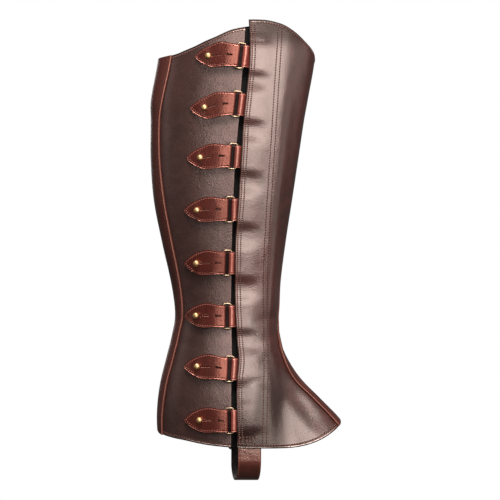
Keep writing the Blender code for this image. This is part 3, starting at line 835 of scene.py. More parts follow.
def hand_in(obj: bpy.types.Object, slot: Slot, *nodes: str) -> None:
    """Tells the frame where a piece belongs.

    Args:
        obj: the piece.
        slot: not used.
        nodes: the CAD nodes that it stands for.
    """
    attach(obj, "root")
    if nodes:
        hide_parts(*nodes)
    LOG.info("%s: %d faces", obj.name, len(obj.data.polygons))


@dataclass
class Hide:
    """A piece of leather cut flat: a grid of places, its thickness and the distance to its cut edges.

    Attributes:
        name: the piece's name.
        rows: points of the outer face, row by row from the hem up, in millimetres.
        thickness: of the leather.
        face: finish of the grain side.
        rim: finish of the cut edge.
        cut_sides: which sides are cut edges that show: low, high, first and last column.
        centred: whether the points lie in the middle of the thickness.
        grain_out: whether the grain side faces up the rows crossed with along a row, or the other way.
        bevel: how far the rim is rounded.
        far: the distance given to points that are near no cut edge.
        rubbed: how far painted shade darkens a point and takes its shine away, from 0 to 1.
        flesh: finish of the unfinished side.
    """

    name: str
    rows: list[list[Vector]]
    thickness: float
    face: BridleLeather
    rim: CutEdge
    cut_sides: tuple[bool, bool, bool, bool] = (True, True, True, True)
    centred: bool = False
    grain_out: bool = True
    bevel: float = 0.5
    far: float = 60.0
    rubbed: Callable[[Vector], float] | None = None
    flesh: FleshSide = FLESH

    def _distances(self) -> np.ndarray:
        """Distance of every point to the nearest cut edge that shows, in millimetres."""
        grid = np.array([[tuple(p) for p in row] for row in self.rows])
        across = np.linalg.norm(np.diff(grid, axis=1), axis=2)
        up = np.linalg.norm(np.diff(grid, axis=0), axis=2)
        from_first = np.concatenate([np.zeros((len(grid), 1)), np.cumsum(across, axis=1)], axis=1)
        from_low = np.concatenate([np.zeros((1, grid.shape[1])), np.cumsum(up, axis=0)], axis=0)
        all_four = (from_low, from_low[-1:] - from_low, from_first, from_first[:, -1:] - from_first)
        nearest = np.full(grid.shape[:2], self.far)
        for shows, distance in zip(self.cut_sides, all_four):
            if shows:
                nearest = np.minimum(nearest, distance)
        return nearest

    def flat_size(self) -> tuple[float, float, float]:
        """Width, length and area of the cut, in metres and square metres."""
        grid = np.array([[tuple(p * MM) for p in row] for row in self.rows])
        widths = np.linalg.norm(np.diff(grid, axis=1), axis=2).sum(axis=1)
        lengths = np.linalg.norm(np.diff(grid, axis=0), axis=2).sum(axis=0)
        a, b, c, d = grid[:-1, :-1], grid[:-1, 1:], grid[1:, 1:], grid[1:, :-1]
        halves = [np.linalg.norm(np.cross(p - a, q - a), axis=2) for p, q in ((b, c), (c, d))]
        return float(widths.max()), float(lengths.max()), float((halves[0] + halves[1]).sum() / 2)

    def build(self, held: Held, rests_on: Sequence[str] = ()) -> bpy.types.Object:
        """Makes the leather.

        Args:
            held: not used.
            rests_on: not used.

        Returns:
            The object, with its wall, rounded rim and materials.
        """
        count = len(self.rows[0])
        points = [point for row in self.rows for point in row]
        corners = [r * count + c for r in range(len(self.rows) - 1) for c in range(count - 1)]
        faces = [(i, i + 1, i + 1 + count, i + count) for i in corners]
        looks = [material_of(finish) for finish in (self.face, self.flesh, self.rim)]
        obj = mesh_object(self.name, points, faces, looks)
        edge = obj.data.attributes.new("edge_mm", "FLOAT", "POINT")
        edge.data.foreach_set("value", self._distances().ravel())
        # Painted shade, stored per point for the leather's material
        if self.rubbed:
            stain = obj.data.attributes.new("rubbed", "FLOAT", "POINT")
            stain.data.foreach_set("value", [self.rubbed(point) for point in points])
        self._face_out(obj)
        wall = {"thickness": self.thickness * MM, "offset": 0.0 if self.centred else -1.0,
                "use_quality_normals": True, "material_offset": 1, "material_offset_rim": 2}
        rounding = {"width": self.bevel * MM, "segments": 2, "limit_method": "ANGLE",
                    "angle_limit": math.radians(60), "use_clamp_overlap": True}
        for name, kind, settings in (("wall", "SOLIDIFY", wall), ("rounded_rim", "BEVEL", rounding)):
            modifier = obj.modifiers.new(name, kind)
            for setting, value in settings.items():
                setattr(modifier, setting, value)
        apply_modifiers(obj)
        smooth_shade(obj)
        width, length, area = self.flat_size()
        min(max(area, 0.3 * width * length), width * length)
        return obj

    def _face_out(self, obj: bpy.types.Object) -> None:
        """Turns the faces so that their normals follow the grain side."""
        across = self.rows[0][1] - self.rows[0][0]
        up = self.rows[1][0] - self.rows[0][0]
        grain = up.cross(across) if self.grain_out else across.cross(up)
        if obj.data.polygons[0].normal.dot(grain) < 0:
            with editing(obj):
                bpy.ops.mesh.flip_normals()


@dataclass
class Sewing:
    """Machine stitches: short lengths of waxed thread between needle holes, whose shade is painted by small
    dark bodies.

    Attributes:
        length: of the thread that shows, in millimetres.
        width: of the thread.
        height: of the thread.
        hole: length, width and height of the dark body that paints a needle hole's shade.
        slant: turn of each stitch from its line, in degrees.
        stitches: where the stitches lie.
        holes: where the dark bodies of painted shade for the holes lie.
    """

    length: float = 1.9
    width: float = 1.0
    height: float = 0.9
    hole: tuple[float, float, float] = (1.35, 1.35, 0.5)
    slant: float = 9.0
    stitches: list[Matrix] = field(default_factory=list)
    holes: list[Matrix] = field(default_factory=list)

    def run(self, points: Sequence[Vector], normals: Sequence[Vector], pitch: float = STITCH_PITCH) -> None:
        """Lays stitches along a line.

        Args:
            points: the line, in millimetres, on the leather's face.
            normals: the leather's normal at each point.
            pitch: from one stitch to the next.
        """
        line = np.array([tuple(p) for p in points])
        along = np.concatenate([[0.0], np.cumsum(np.linalg.norm(np.diff(line, axis=0), axis=1))])
        count = max(int(along[-1] / pitch), 1)
        step = along[-1] / count
        for i in range(count):
            start, hole, middle, end = [
                Vector([float(np.interp((i + s) * step, along, line[:, k])) for k in range(3)])
                for s in (0.1, 0.0, 0.5, 0.9)]
            j = int(np.searchsorted(along, (i + 0.5) * step)) - 1
            up = normals[min(max(j, 0), len(normals) - 1)].normalized()
            way = (Matrix.Rotation(math.radians(self.slant), 3, up) @ (end - start)).normalized()
            side = up.cross(way).normalized()
            turn = Matrix((way, side, way.cross(side).normalized())).transposed().to_4x4()
            self.stitches.append(Matrix.Translation(middle) @ turn)
            self.holes.append(Matrix.Translation(hole) @ turn)

    def _grain(self, size: tuple[float, float, float]) -> tuple[list[Vector], list[tuple[int, ...]]]:
        """Points and faces of one small rounded body that lies along +X."""
        bpy.ops.object.select_all(action="DESELECT")
        bpy.ops.mesh.primitive_uv_sphere_add(segments=6, ring_count=5, radius=0.5, location=(0, 0, 0))
        one = bpy.context.object
        with editing(one):
            bpy.ops.transform.rotate(value=math.radians(90), orient_axis="Y", center_override=(0, 0, 0))
            bpy.ops.transform.resize(value=size, center_override=(0, 0, 0))
        made = [v.co.copy() for v in one.data.vertices], [tuple(p.vertices) for p in one.data.polygons]
        bpy.data.objects.remove(one)
        return made

    def build(self, name: str, finish: WaxedThread, slot: Slot) -> None:
        """Makes the thread, and the dark bodies that paint the needle holes' shade, each as one piece of many
        small bodies.

        Args:
            name: the pieces' name.
            finish: the thread.
            slot: the record's material slot.
        """
        thread = (self.length, self.width, self.height)
        for part, places, size, look in (("thread", self.stitches, thread, finish),
                                         ("holes", self.holes, self.hole, HOLE_SHADE)):
            base, base_faces = self._grain(size)
            points = [place @ co for place in places for co in base]
            starts = [len(base) * i for i in range(len(places))]
            faces = [[start + i for i in face] for start in starts for face in base_faces]
            obj = mesh_object(f"{name}_{part}", points, faces, [material_of(look)])
            smooth_shade(obj, 80)
            hand_in(obj, slot)


@dataclass
class LegPanels:
    """The walls of the gaiter: three panels, the underlap and the two bands over the seams.

    Attributes:
        row_step: distance between rows of points, in millimetres.
        near_edge: distances of the closer rows and columns from a cut edge.
        ends: heights near the hem and the top edge, from which a line's own ends are found.
        round_ends: the same for the rows of stitches round the hem and the top.
    """

    row_step: float = 3.6
    near_edge: tuple[float, ...] = (0.0, 0.7, 1.5, 2.6, 4.2)
    ends: tuple[float, float] = (-140.0, 260.0)
    round_ends: tuple[float, float] = (-140.0, 262.0)

    def shares(self) -> list[float]:
        """Heights of the rows as shares from hem to top, close together at both cut edges."""
        low, high = hem_at(90), top_at(FRONT_TOP, 90)
        span = high - low
        inner = [self.near_edge[-1] + i * (span - 2 * self.near_edge[-1]) / int(span / self.row_step)
                 for i in range(1, int(span / self.row_step))]
        heights = list(self.near_edge) + inner + [span - d for d in reversed(self.near_edge)]
        return [h / span for h in heights]

    def column(self, edge: Line, top: Table) -> list[Place]:
        """Places of each row on a line up the leg, whose angle follows from the height."""
        places = []
        for share in self.shares():
            height = hem_at(90) + share * (top_at(FRONT_TOP, 90) - hem_at(90))
            for _ in range(4):
                angle = edge(height)
                hem = hem_at(angle)
                height = hem + share * (top_at(top, angle) - hem)
            places.append((edge(height), height))
        return places

    def rows(self, edges: Sequence[Line], top: Table, lift: Lift) -> list[list[Vector]]:
        """Points of a wall's outer face.

        Args:
            edges: lines up the leg, in order round it.
            top: the table of the top edge.
            lift: how far the face stands off the form.

        Returns:
            The points, row by row from the hem.
        """
        columns = [self.column(edge, top) for edge in edges]
        return [[lifted(a, h, lift(a, h) + crease_lift(a, h)) for a, h in row] for row in zip(*columns)]

    def flap_line(self, step: float) -> Line:
        """A line a fixed distance forwards of the front panel's free edge."""
        return lambda height: angle_at(flap_edge(height) + step, height)

    def closure_line(self, step: float) -> Line:
        """A line a fixed distance forwards of the rear panel's free edge."""
        return lambda height: angle_at(section("closure", round(height, 3)) + step, height)

    def second_line(self, step: float) -> Line:
        """The double row of stitches beyond the keepers' ends, and a line a step forwards of it."""
        return lambda height: angle_at(smooth(SECOND_ROW, EDGE_COLUMNS, "height", height) + step, height)

    def wall(self, name: str, nodes: str, slot: Slot, edges: Sequence[Line], top: Table, lift: Lift,
             rests_on: Sequence[str] = (), **leather: Any) -> None:
        """Makes one wall of leather.

        Args:
            name: the piece's name.
            nodes: the CAD node that it stands for.
            slot: the record's material slot.
            edges: lines up the leg, in order round it.
            top: the table of the top edge.
            lift: how far the face stands off the form.
            rests_on: what it lies on.
            leather: the hide's own settings.
        """
        hide = Hide(name, self.rows(edges, top, lift), **leather)
        hand_in(hide.build(Held.STRETCHED, rests_on), slot, nodes)

    def panels(self) -> None:
        """The near-black strip behind the gap beside the flap, which paints the gap's shade, then the inner,
        the rear and the front panel.
        """
        strip = [self.closure_line(UNDERLAP_WIDTH * (1 - i / 10) - UNDERLAP_REACH) for i in range(11)]
        self.wall("underlap_leather", "underlap", Slot.DARK, strip, REST_TOP, level(UNDERLAP_LIFT),
                  ["rear_leather"], thickness=UNDERLAP, face=UNDERLAP_SHADE_HIDE, rim=DARK_EDGE, bevel=0.3)

        far_band, far_seam = a_turn_on(front_band_far), a_turn_on(front_seam)
        inner = [shifted(calf_seam, GAP / 2), *lines(calf_seam, rear_band_edge(1), even(5))[1:],
                 *lines(rear_band_edge(1), far_band, even(36)), *lines(far_band, far_seam, even(4)),
                 shifted(far_seam, -GAP / 2)]
        rear = [self.closure_line(-step) for step in self.near_edge]
        rear += [*lines(self.closure_line(-7), rear_band_edge(-1), even(20)),
                 *lines(rear_band_edge(-1), calf_seam, even(5)), shifted(calf_seam, -GAP / 2)]
        # The rear panel gets painted shade under its rings and a painted shadow below its straps
        for name, edges, worn in (("inner", inner, None), ("rear", rear, under_ring)):
            self.wall(f"{name}_leather", f"{name}_panel", Slot.DARK, edges, REST_TOP, level(0.0),
                      thickness=PANEL, face=DARK_HIDE, rim=DARK_EDGE,
                      cut_sides=(True, True, False, False), rubbed=worn)

        steps = [*self.near_edge, *(6.5 + 2.3 * i for i in range(9)), *(27 + 3.5 * i for i in range(4))]
        front = [*(self.flap_line(step) for step in steps),
                 *lines(self.flap_line(41), front_band_edge, even(14)),
                 *lines(front_band_edge, front_seam, even(4)), shifted(front_seam, GAP / 2)]
        # The front panel gets painted shade along its top edge and low down beside the flap
        self.wall("front_leather", "front_panel", Slot.BROWN, front[::-1], FRONT_TOP, flap_lift,
                  ["keeper_leather_1"], thickness=PANEL, face=BROWN_HIDE, rim=DARK_EDGE,
                  cut_sides=(True, True, False, True), rubbed=front_shade)

    def bands(self) -> None:
        """The two bands that cover the seams at the calf and the shin."""
        near = [0.0, 0.02, 0.05, 0.09]
        shares = near + [0.15 + 0.1 * i for i in range(8)] + [1 - s for s in reversed(near)]
        for name, first, last, top in (("rear", rear_band_edge(-1), rear_band_edge(1), REST_TOP),
                                       ("front", front_band_far, front_band_edge, FRONT_TOP)):
            self.wall(f"{name}_band_leather", f"{name}_band", Slot.RED, lines(first, last, shares), top,
                      level(GAP + BAND), [f"{name}_leather", "inner_leather"], thickness=BAND, face=BAND_HIDE,
                      rim=RAW_EDGE, cut_sides=(False, False, True, True), bevel=0.35)

    def sew_line(self, sewing: Sewing, places: Sequence[Place], lift: Lift,
                 pitch: float = STITCH_PITCH) -> None:
        """Sews along places on the leg."""
        points = [lifted(a, h, lift(a, h) + crease_lift(a, h) + THREAD_LIFT) for a, h in places]
        sewing.run(points, [normal_at(a, h) for a, h in places], pitch)

    def heights(self, edge: Line, top: Table, inset: float) -> list[Place]:
        """Places up a line, from just above the hem to just below the top edge."""
        low, high = self.ends
        for _ in range(2):
            low = hem_at(edge(low)) + inset
            high = top_at(top, edge(high)) - inset
        count = int((high - low) / 2.5)
        ups = [low + (high - low) * i / count for i in range(count + 1)]
        return [(edge(up), up) for up in ups]

    def sew(self) -> None:
        """Sews the edges and seams."""
        close = Sewing(length=1.2, width=1.1, hole=(1.2, 1.7, 0.55))
        for step in (2.6, 5.6):
            self.sew_line(close, self.heights(self.flap_line(step), FRONT_TOP, 4.0), flap_lift, FLAP_PITCH)
        close.build("flap", FLAP_THREAD, Slot.BROWN)
        sewing = Sewing()
        for side in (0.0, SECOND_ROW_APART):
            self.sew_line(sewing, self.heights(self.second_line(side), FRONT_TOP, 3.0), flap_lift)
        self.sew_round(sewing, self.flap_line(8.0), front_band_edge, FRONT_TOP, flap_lift)
        self.sew_round(sewing, self.closure_line(-2.0), rear_band_edge(-1), REST_TOP, level(0.0))
        self.sew_round(sewing, rear_band_edge(1), a_turn_on(front_band_far), REST_TOP, level(0.0))
        sewing.build("panel", THREAD, Slot.BROWN)
        fine = Sewing(width=0.7, height=0.3, hole=(0.9, 0.9, 0.25))
        for edge, inset in ((rear_band_edge(-1), 3.0), (rear_band_edge(1), -3.0)):
            self.sew_line(fine, self.heights(shifted(edge, inset), REST_TOP, 4.0), level(GAP + BAND))
        fine.build("band", BAND_THREAD, Slot.RED)

    def sew_round(self, sewing: Sewing, first: Line, last: Line, top: Table, lift: Lift) -> None:
        """Sews along the hem and the top edge between two lines up the leg."""
        for at, low in zip(self.round_ends, (True, False)):
            start, end = first(at), last(at)
            count = int(abs(end - start) / 1.5)
            angles = [start + (end - start) * i / count for i in range(count + 1)]
            self.sew_line(sewing, [(angle, hem_at(angle) + STITCH_FROM_EDGE if low else
                                    top_at(top, angle) - STITCH_FROM_EDGE) for angle in angles], lift)

    def build(self) -> None:
        """Makes every wall and sews it."""
        self.panels()
        self.bands()
        self.sew()


def arc(centre: tuple[float, float], radius: float, start: float, end: float,
        steps: int) -> list[tuple[float, float]]:
    """Points of an arc in the plane of run and lift.

    Args:
        centre: run and lift of its centre.
        radius: in millimetres.
        start: first angle in degrees from the run's axis.
        end: last angle.
        steps: how many steps.

    Returns:
        The points.
    """
    turns = [math.radians(start + (end - start) * i / steps) for i in range(steps + 1)]
    return [(centre[0] + radius * math.cos(t), centre[1] + radius * math.sin(t)) for t in turns]


def eased_path(rows: Table, steps: int) -> list[tuple[float, float, float]]:
    """A smooth curve through rows of three numbers, with a few points from each row to the next."""
    grid = np.array(rows, float)
    count = len(grid)
    made = []
    for i in range(count - 1):
        before, after = grid[max(i - 1, 0)], grid[min(i + 2, count - 1)]
        for s in range(steps):
            t = s / steps
            a = (1 + 2 * t) * (1 - t) ** 2 * grid[i] + t * (1 - t) ** 2 * (grid[i + 1] - before) / 2
            b = t * t * (3 - 2 * t) * grid[i + 1] - t * t * (1 - t) * (after - grid[i]) / 2
            made.append(tuple(float(v) for v in a + b))
    made.append(tuple(float(v) for v in grid[-1]))
    return made


Mapping = Callable[[float, float, float], Vector]


def closure_place(ring_height: float, turn: float, lean: float, bow: float, to_flap: float, to_stud: float,
                  _: float) -> Mapping:
    """Maps run (from the ring towards the calf), across (up) and lift to a point on the outer side.

    Args:
        ring_height: height of the ring's middle.
        turn: the strap's tilt in degrees.
        lean: the ring's, in degrees.
        bow: how far up the strap bows between the ring and the stud.
        to_flap: from the ring's centre to the front panel's free edge.
        to_stud: from the ring's centre to the stud.

    Returns:
        The mapping, in millimetres.
    """
    turn, lean = math.radians(turn), math.radians(lean)
    ring_x = flap_edge(ring_height) - to_flap
    round_leg = [0.0]
    for i in range(60):
        here, there = (skin(angle_at(ring_x - step, ring_height), ring_height) for step in (i, i + 1))
        round_leg.append(round_leg[-1] + (there - here).length)

    def behind(run: float) -> float:
        if run <= 0:
            return run
        i = sum(length <= run for length in round_leg) - 1
        return i + (run - round_leg[i]) / (round_leg[i + 1] - round_leg[i])

    def place(run: float, across: float, lift: float) -> Vector:
        square, beyond = min(run, STRAP_TURNS_AT), max(run - STRAP_TURNS_AT, 0.0)
        share = min(beyond / (to_stud - STRAP_TURNS_AT), 1.0)
        slant = math.sin(lean) * fading(beyond, 0.0, to_stud)
        x = ring_x - behind(square * math.cos(lean) + beyond * math.cos(turn)) + across * slant
        risen = levelled(beyond, to_stud - STRAP_TURNS_AT) * math.sin(turn)
        height = ring_height + square * math.sin(lean) + risen + across * math.cos(lean)
        return side_point(-1, x, height + 16 * bow * (share * (1 - share)) ** 2, lift)

    return place


def ribbon_rows(stations: Sequence[tuple[float, float, float]], place: Mapping) -> list[list[Vector]]:
    """Points of a strip's middle: stations of run, lift and half width, placed by a mapping."""
    return [[place(run, share * half, lift) for share in ACROSS] for run, lift, half in stations]


def wire_object(name: str, points: Sequence[Vector], radius: float, finish: Brass,
                cyclic: bool) -> bpy.types.Object:
    """A round wire along points in millimetres, as a mesh.

    Args:
        name: the piece's name.
        points: the wire's middle.
        radius: in millimetres.
        finish: the metal.
        cyclic: whether it closes on itself.

    Returns:
        The object.
    """
    curve = bpy.data.curves.new(name, "CURVE")
    curve.dimensions = "3D"
    curve.bevel_depth = radius * MM
    curve.bevel_resolution = 4
    curve.use_fill_caps = True
    spline = curve.splines.new("POLY")
    spline.points.add(len(points) - 1)
    for target, point in zip(spline.points, points):
        target.co = (*(point * MM), 1)
    spline.use_cyclic_u = cyclic
    curve.materials.append(material_of(finish))
    obj = bpy.data.objects.new(name, curve)
    bpy.context.scene.collection.objects.link(obj)
    select_only(obj)
    bpy.ops.object.convert(target="MESH")
    obj = bpy.context.object
    smooth_shade(obj, 50)
    return obj


def rounded_loop(half_width: float, half_height: float, corner: float,
                 steps: int) -> list[tuple[float, float]]:
    """Points of a rounded rectangle, in order."""
    points = []
    for sign_x, sign_y, start in ((1, 1, 0), (-1, 1, 90), (-1, -1, 180), (1, -1, 270)):
        centre = (sign_x * (half_width - corner), sign_y * (half_height - corner))
        points += arc(centre, corner, start, start + 90, steps)
    return points


def ring_loop(steps: int) -> list[tuple[float, float]]:
    """The ring's middle line, straight at its bars and arched at its ends."""
    points = rounded_loop(RING_HALF_WIDTH, RING_HALF_HEIGHT, RING_CORNER, steps)
    points.insert(steps + 1, (0.0, RING_HALF_HEIGHT))
    points.insert(3 * steps + 4, (0.0, -RING_HALF_HEIGHT))
    arched = []
    for run, across in points:
        out = RING_ARCH * (1 - (run / RING_HALF_WIDTH) ** 2)
        arched.append((run, across + math.copysign(out, across)))
    return arched


# Shares of a strip's half width at which its points lie, close together at the cut edges
ACROSS = (-1.0, -0.95, -0.87, -0.72, -0.5, -0.25, 0.0, 0.25, 0.5, 0.72, 0.87, 0.95, 1.0)


@dataclass
class Closures:
    """Eight turned-back straps with their rings, keepers and ball studs.

    Attributes:
        anchor: run and half width of the strap's under layer, from its sewn end.
        back: run, lift and half width of its upper layer, from the ring to the tip.
        keeper_ends: run of the keeper's upper layer, and its lift past the leather's middle.
        hole: radius of the stud's hole.
        slit: half width of the slits, and punch the lifts between which holes are cut.
        stud_slit: how far the slit runs from the stud's hole, and spare_slit from the spare one.
        inset: of the stitches, and point_inset the same times more along the point.
        stud_profile: radius and lift of the ball stud.
    """

    anchor: tuple[tuple[float, float], ...] = ((38.5, 5.0), (36.5, 7.4), (33.5, 9.2), (30.0, 10.4),
                                               (26.0, 11.3), (22.0, HALF_STRAP), (11.0, HALF_STRAP))
    back: tuple[tuple[float, float, float], ...] = (
        (8.5, 6.0, 11.8), (13.8, 5.9, 12.3), (18.8, 5.4, 13.0), (23.5, 4.8, 13.1), (27.5, 4.3, 12.5),
        (31.5, 3.9, 11.3), (35.2, 3.8, 9.7), (38.9, 3.6, 7.7), (42.0, 3.1, 5.7), (44.4, 2.5, 3.8),
        (45.9, 2.1, 2.2), (46.8, 1.9, 0.9))
    keeper_ends: tuple[tuple[float, float], ...] = ((-19.5, 0.0), (-15.0, 0.0), (-11.5, 0.1), (-8.8, 0.9),
                                                    (-7.6, 1.7), (-6.6, 3.1), (-5.7, 3.95))
    hole: float = 1.3
    slit: float = 0.42
    punch: tuple[float, float] = (2.5, 9.5)
    stud_slit: float = 13.3
    spare_slit: float = 5.0
    inset: float = 1.9
    point_inset: float = 1.25
    stud_profile: tuple[tuple[float, float], ...] = (
        (0.0, 2.7), (1.5, 2.7), (1.5, 5.4), (2.5, 5.5), (2.7, 5.9), (2.4, 6.2), (2.3, 6.4), (2.8, 6.9),
        (3.25, 7.6), (3.4, 8.3), (3.25, 9.1), (2.8, 9.9), (2.1, 10.5), (1.2, 10.85), (0.0, 10.95))

    def top_layer(self, to_tip: float) -> list[tuple[float, float, float]]:
        """The strap's upper layer, from the ring's bar to its tip, drawn out to reach it."""
        start, end = self.back[0][0], self.back[-1][0]
        drawn = (to_tip - start) / (end - start)
        return eased_path([(start + (run - start) * drawn, lift, half) for run, lift, half in self.back], 4)

    def strap_stations(self, to_tip: float) -> list[tuple[float, float, float]]:
        """The whole strap: under layer, round the bar, and back over itself."""
        flat_lift = SEAT_GAP + STRAP / 2
        anchor = [(run, flat_lift, half) for run, half in self.anchor]
        around = arc((RING_HALF_WIDTH, STRAP_BAR_LIFT), RING_WIRE + GAP + STRAP / 2, -80, -280, 12)
        return anchor + [(run, lift, HALF_STRAP) for run, lift in around] + self.top_layer(to_tip)

    def cutter(self, place: Mapping, at: float, slit_to: float) -> bpy.types.Object:
        """A hidden block for a hole with a slit towards the ring."""
        outline = arc((at, 0.0), self.hole, 160, -160, 12) + [(slit_to, -self.slit), (slit_to, self.slit)]
        points = [place(run, across, lift) for lift in self.punch for run, across in outline]
        count = len(outline)
        faces = [tuple(range(count)), tuple(range(2 * count - 1, count - 1, -1))]
        faces += [(i, i + count, (i + 1) % count + count, (i + 1) % count) for i in range(count)]
        obj = mesh_object("punch", points, faces, [material_of(DARK_EDGE)])
        with editing(obj):
            bpy.ops.mesh.normals_make_consistent(inside=False)
        return obj

    def strap(self, number: int, place: Mapping, to_stud: float, to_tip: float) -> None:
        """One strap, cut for its stud and its spare hole."""
        hide = Hide(f"strap_leather_{number}", ribbon_rows(self.strap_stations(to_tip), place), STRAP,
                    RED_HIDE, RED_EDGE, centred=True, grain_out=False, bevel=0.45)
        obj = hide.build(Held.FOLDED, [f"ring_wire_{number}"])
        spare = to_stud - HOLES_APART
        punches = [self.cutter(place, to_stud, to_stud - self.stud_slit),
                   self.cutter(place, spare, spare - self.spare_slit)]
        for punch in punches:
            cut = obj.modifiers.new("cut", "BOOLEAN")
            cut.operation = "DIFFERENCE"
            cut.object = punch
        apply_modifiers(obj)
        for punch in punches:
            bpy.data.objects.remove(punch)
        hand_in(obj, Slot.RED, f"strap_{number}")

    def keeper(self, number: int, place: Mapping) -> None:
        """The short strip that holds the ring's front bar to the flap."""
        upper, lower = KEEPER / 2 + GAP, -KEEPER / 2
        ends = [(run, upper + more) for run, more in self.keeper_ends]
        around = arc((-RING_HALF_WIDTH, KEEPER_BAR_LIFT), RING_WIRE + GAP + KEEPER / 2, 112, -60, 14)
        under = [(-7.0, lower + 1.0), (-9.2, lower), (-14.0, lower), (-19.5, lower)]
        stations = [(run, lift, HALF_STRAP) for run, lift in ends + around + under]
        # The lighter keeper leather paints the keeper's highlight
        hide = Hide(f"keeper_leather_{number}", ribbon_rows(stations, place), KEEPER, KEEPER_HIGHLIT_HIDE,
                    RED_EDGE, centred=True, grain_out=False, bevel=0.35)
        hand_in(hide.build(Held.FOLDED, [f"ring_wire_{number}"]), Slot.RED, f"keeper_{number}")

    def ring(self, number: int, place: Mapping) -> None:
        """The wire ring."""
        loop = []
        for run, across in ring_loop(6):
            share = (run + RING_HALF_WIDTH) / (2 * RING_HALF_WIDTH)
            loop.append(place(run, across, KEEPER_BAR_LIFT + (STRAP_BAR_LIFT - KEEPER_BAR_LIFT) * share))
        wire = wire_object(f"ring_wire_{number}", loop, RING_WIRE, WIRE_BRASS, True)
        hand_in(wire, Slot.BRASS, f"ring_{number}")

    def stud_pattern(self) -> bpy.types.Object:
        """The ball stud, turned about +Z from its profile, to be copied."""
        profile = self.stud_profile
        points = [Vector((radius, 0, lift)) for radius, lift in profile]
        obj = mesh_object("stud_pattern", points, [], [material_of(STUD_BRASS)])
        obj.data.edges.add(len(profile) - 1)
        for i, edge in enumerate(obj.data.edges):
            edge.vertices = (i, i + 1)
        with editing(obj):
            bpy.ops.mesh.spin(steps=28, angle=2 * math.pi, center=(0, 0, 0), axis=(0, 0, 1))
            bpy.ops.mesh.select_all(action="SELECT")
            bpy.ops.mesh.remove_doubles(threshold=0.00002)
            bpy.ops.mesh.normals_make_consistent(inside=False)
        smooth_shade(obj, 35)
        return obj

    def stud(self, number: int, place: Mapping, to_stud: float, pattern: bpy.types.Object) -> None:
        """One ball stud, set on the rear panel."""
        foot, head = place(to_stud, 0, 0), place(to_stud, 0, 10)
        obj = bpy.data.objects.new(f"ball_stud_{number}", pattern.data.copy())
        bpy.context.scene.collection.objects.link(obj)
        turn = (head - foot).to_track_quat("Z", "Y").to_matrix().to_4x4()
        obj.data.transform(Matrix.Translation(foot * MM) @ turn)
        hand_in(obj, Slot.BRASS, f"stud_{number}")

    def sew_strap(self, sewing: Sewing, place: Mapping, to_tip: float) -> None:
        """Sews round the pointed end, inside its outline."""
        rows = [row for row in self.top_layer(to_tip) if row[0] <= to_tip - 1.6]
        upper = [(run, half - self.inset * (1.0 if run < to_tip - 8.8 else self.point_inset), lift)
                 for run, lift, half in rows]
        outline = upper + [(run, -across, lift) for run, across, lift in reversed(upper)]
        points = [place(run, across, lift + STRAP / 2 + 0.08) for run, across, lift in outline]
        normals = [(place(run, across, lift + 3) - place(run, across, lift)).normalized()
                   for run, across, lift in outline]
        sewing.run(points, normals, 2.6)

    def build(self) -> None:
        """Makes every closure."""
        pattern = self.stud_pattern()
        sewing = Sewing(length=1.7, width=0.9, height=0.8, hole=(1.0, 1.0, 0.4))
        for number, row in enumerate(CLOSURES, 1):
            place = closure_place(*row)
            to_stud, to_tip = row[-2:]
            self.ring(number, place)
            self.keeper(number, place)
            self.strap(number, place, to_stud, to_tip)
            self.stud(number, place, to_stud, pattern)
            self.sew_strap(sewing, place, to_tip)
        bpy.data.objects.remove(pattern)
        sewing.build("strap", RED_THREAD, Slot.RED)


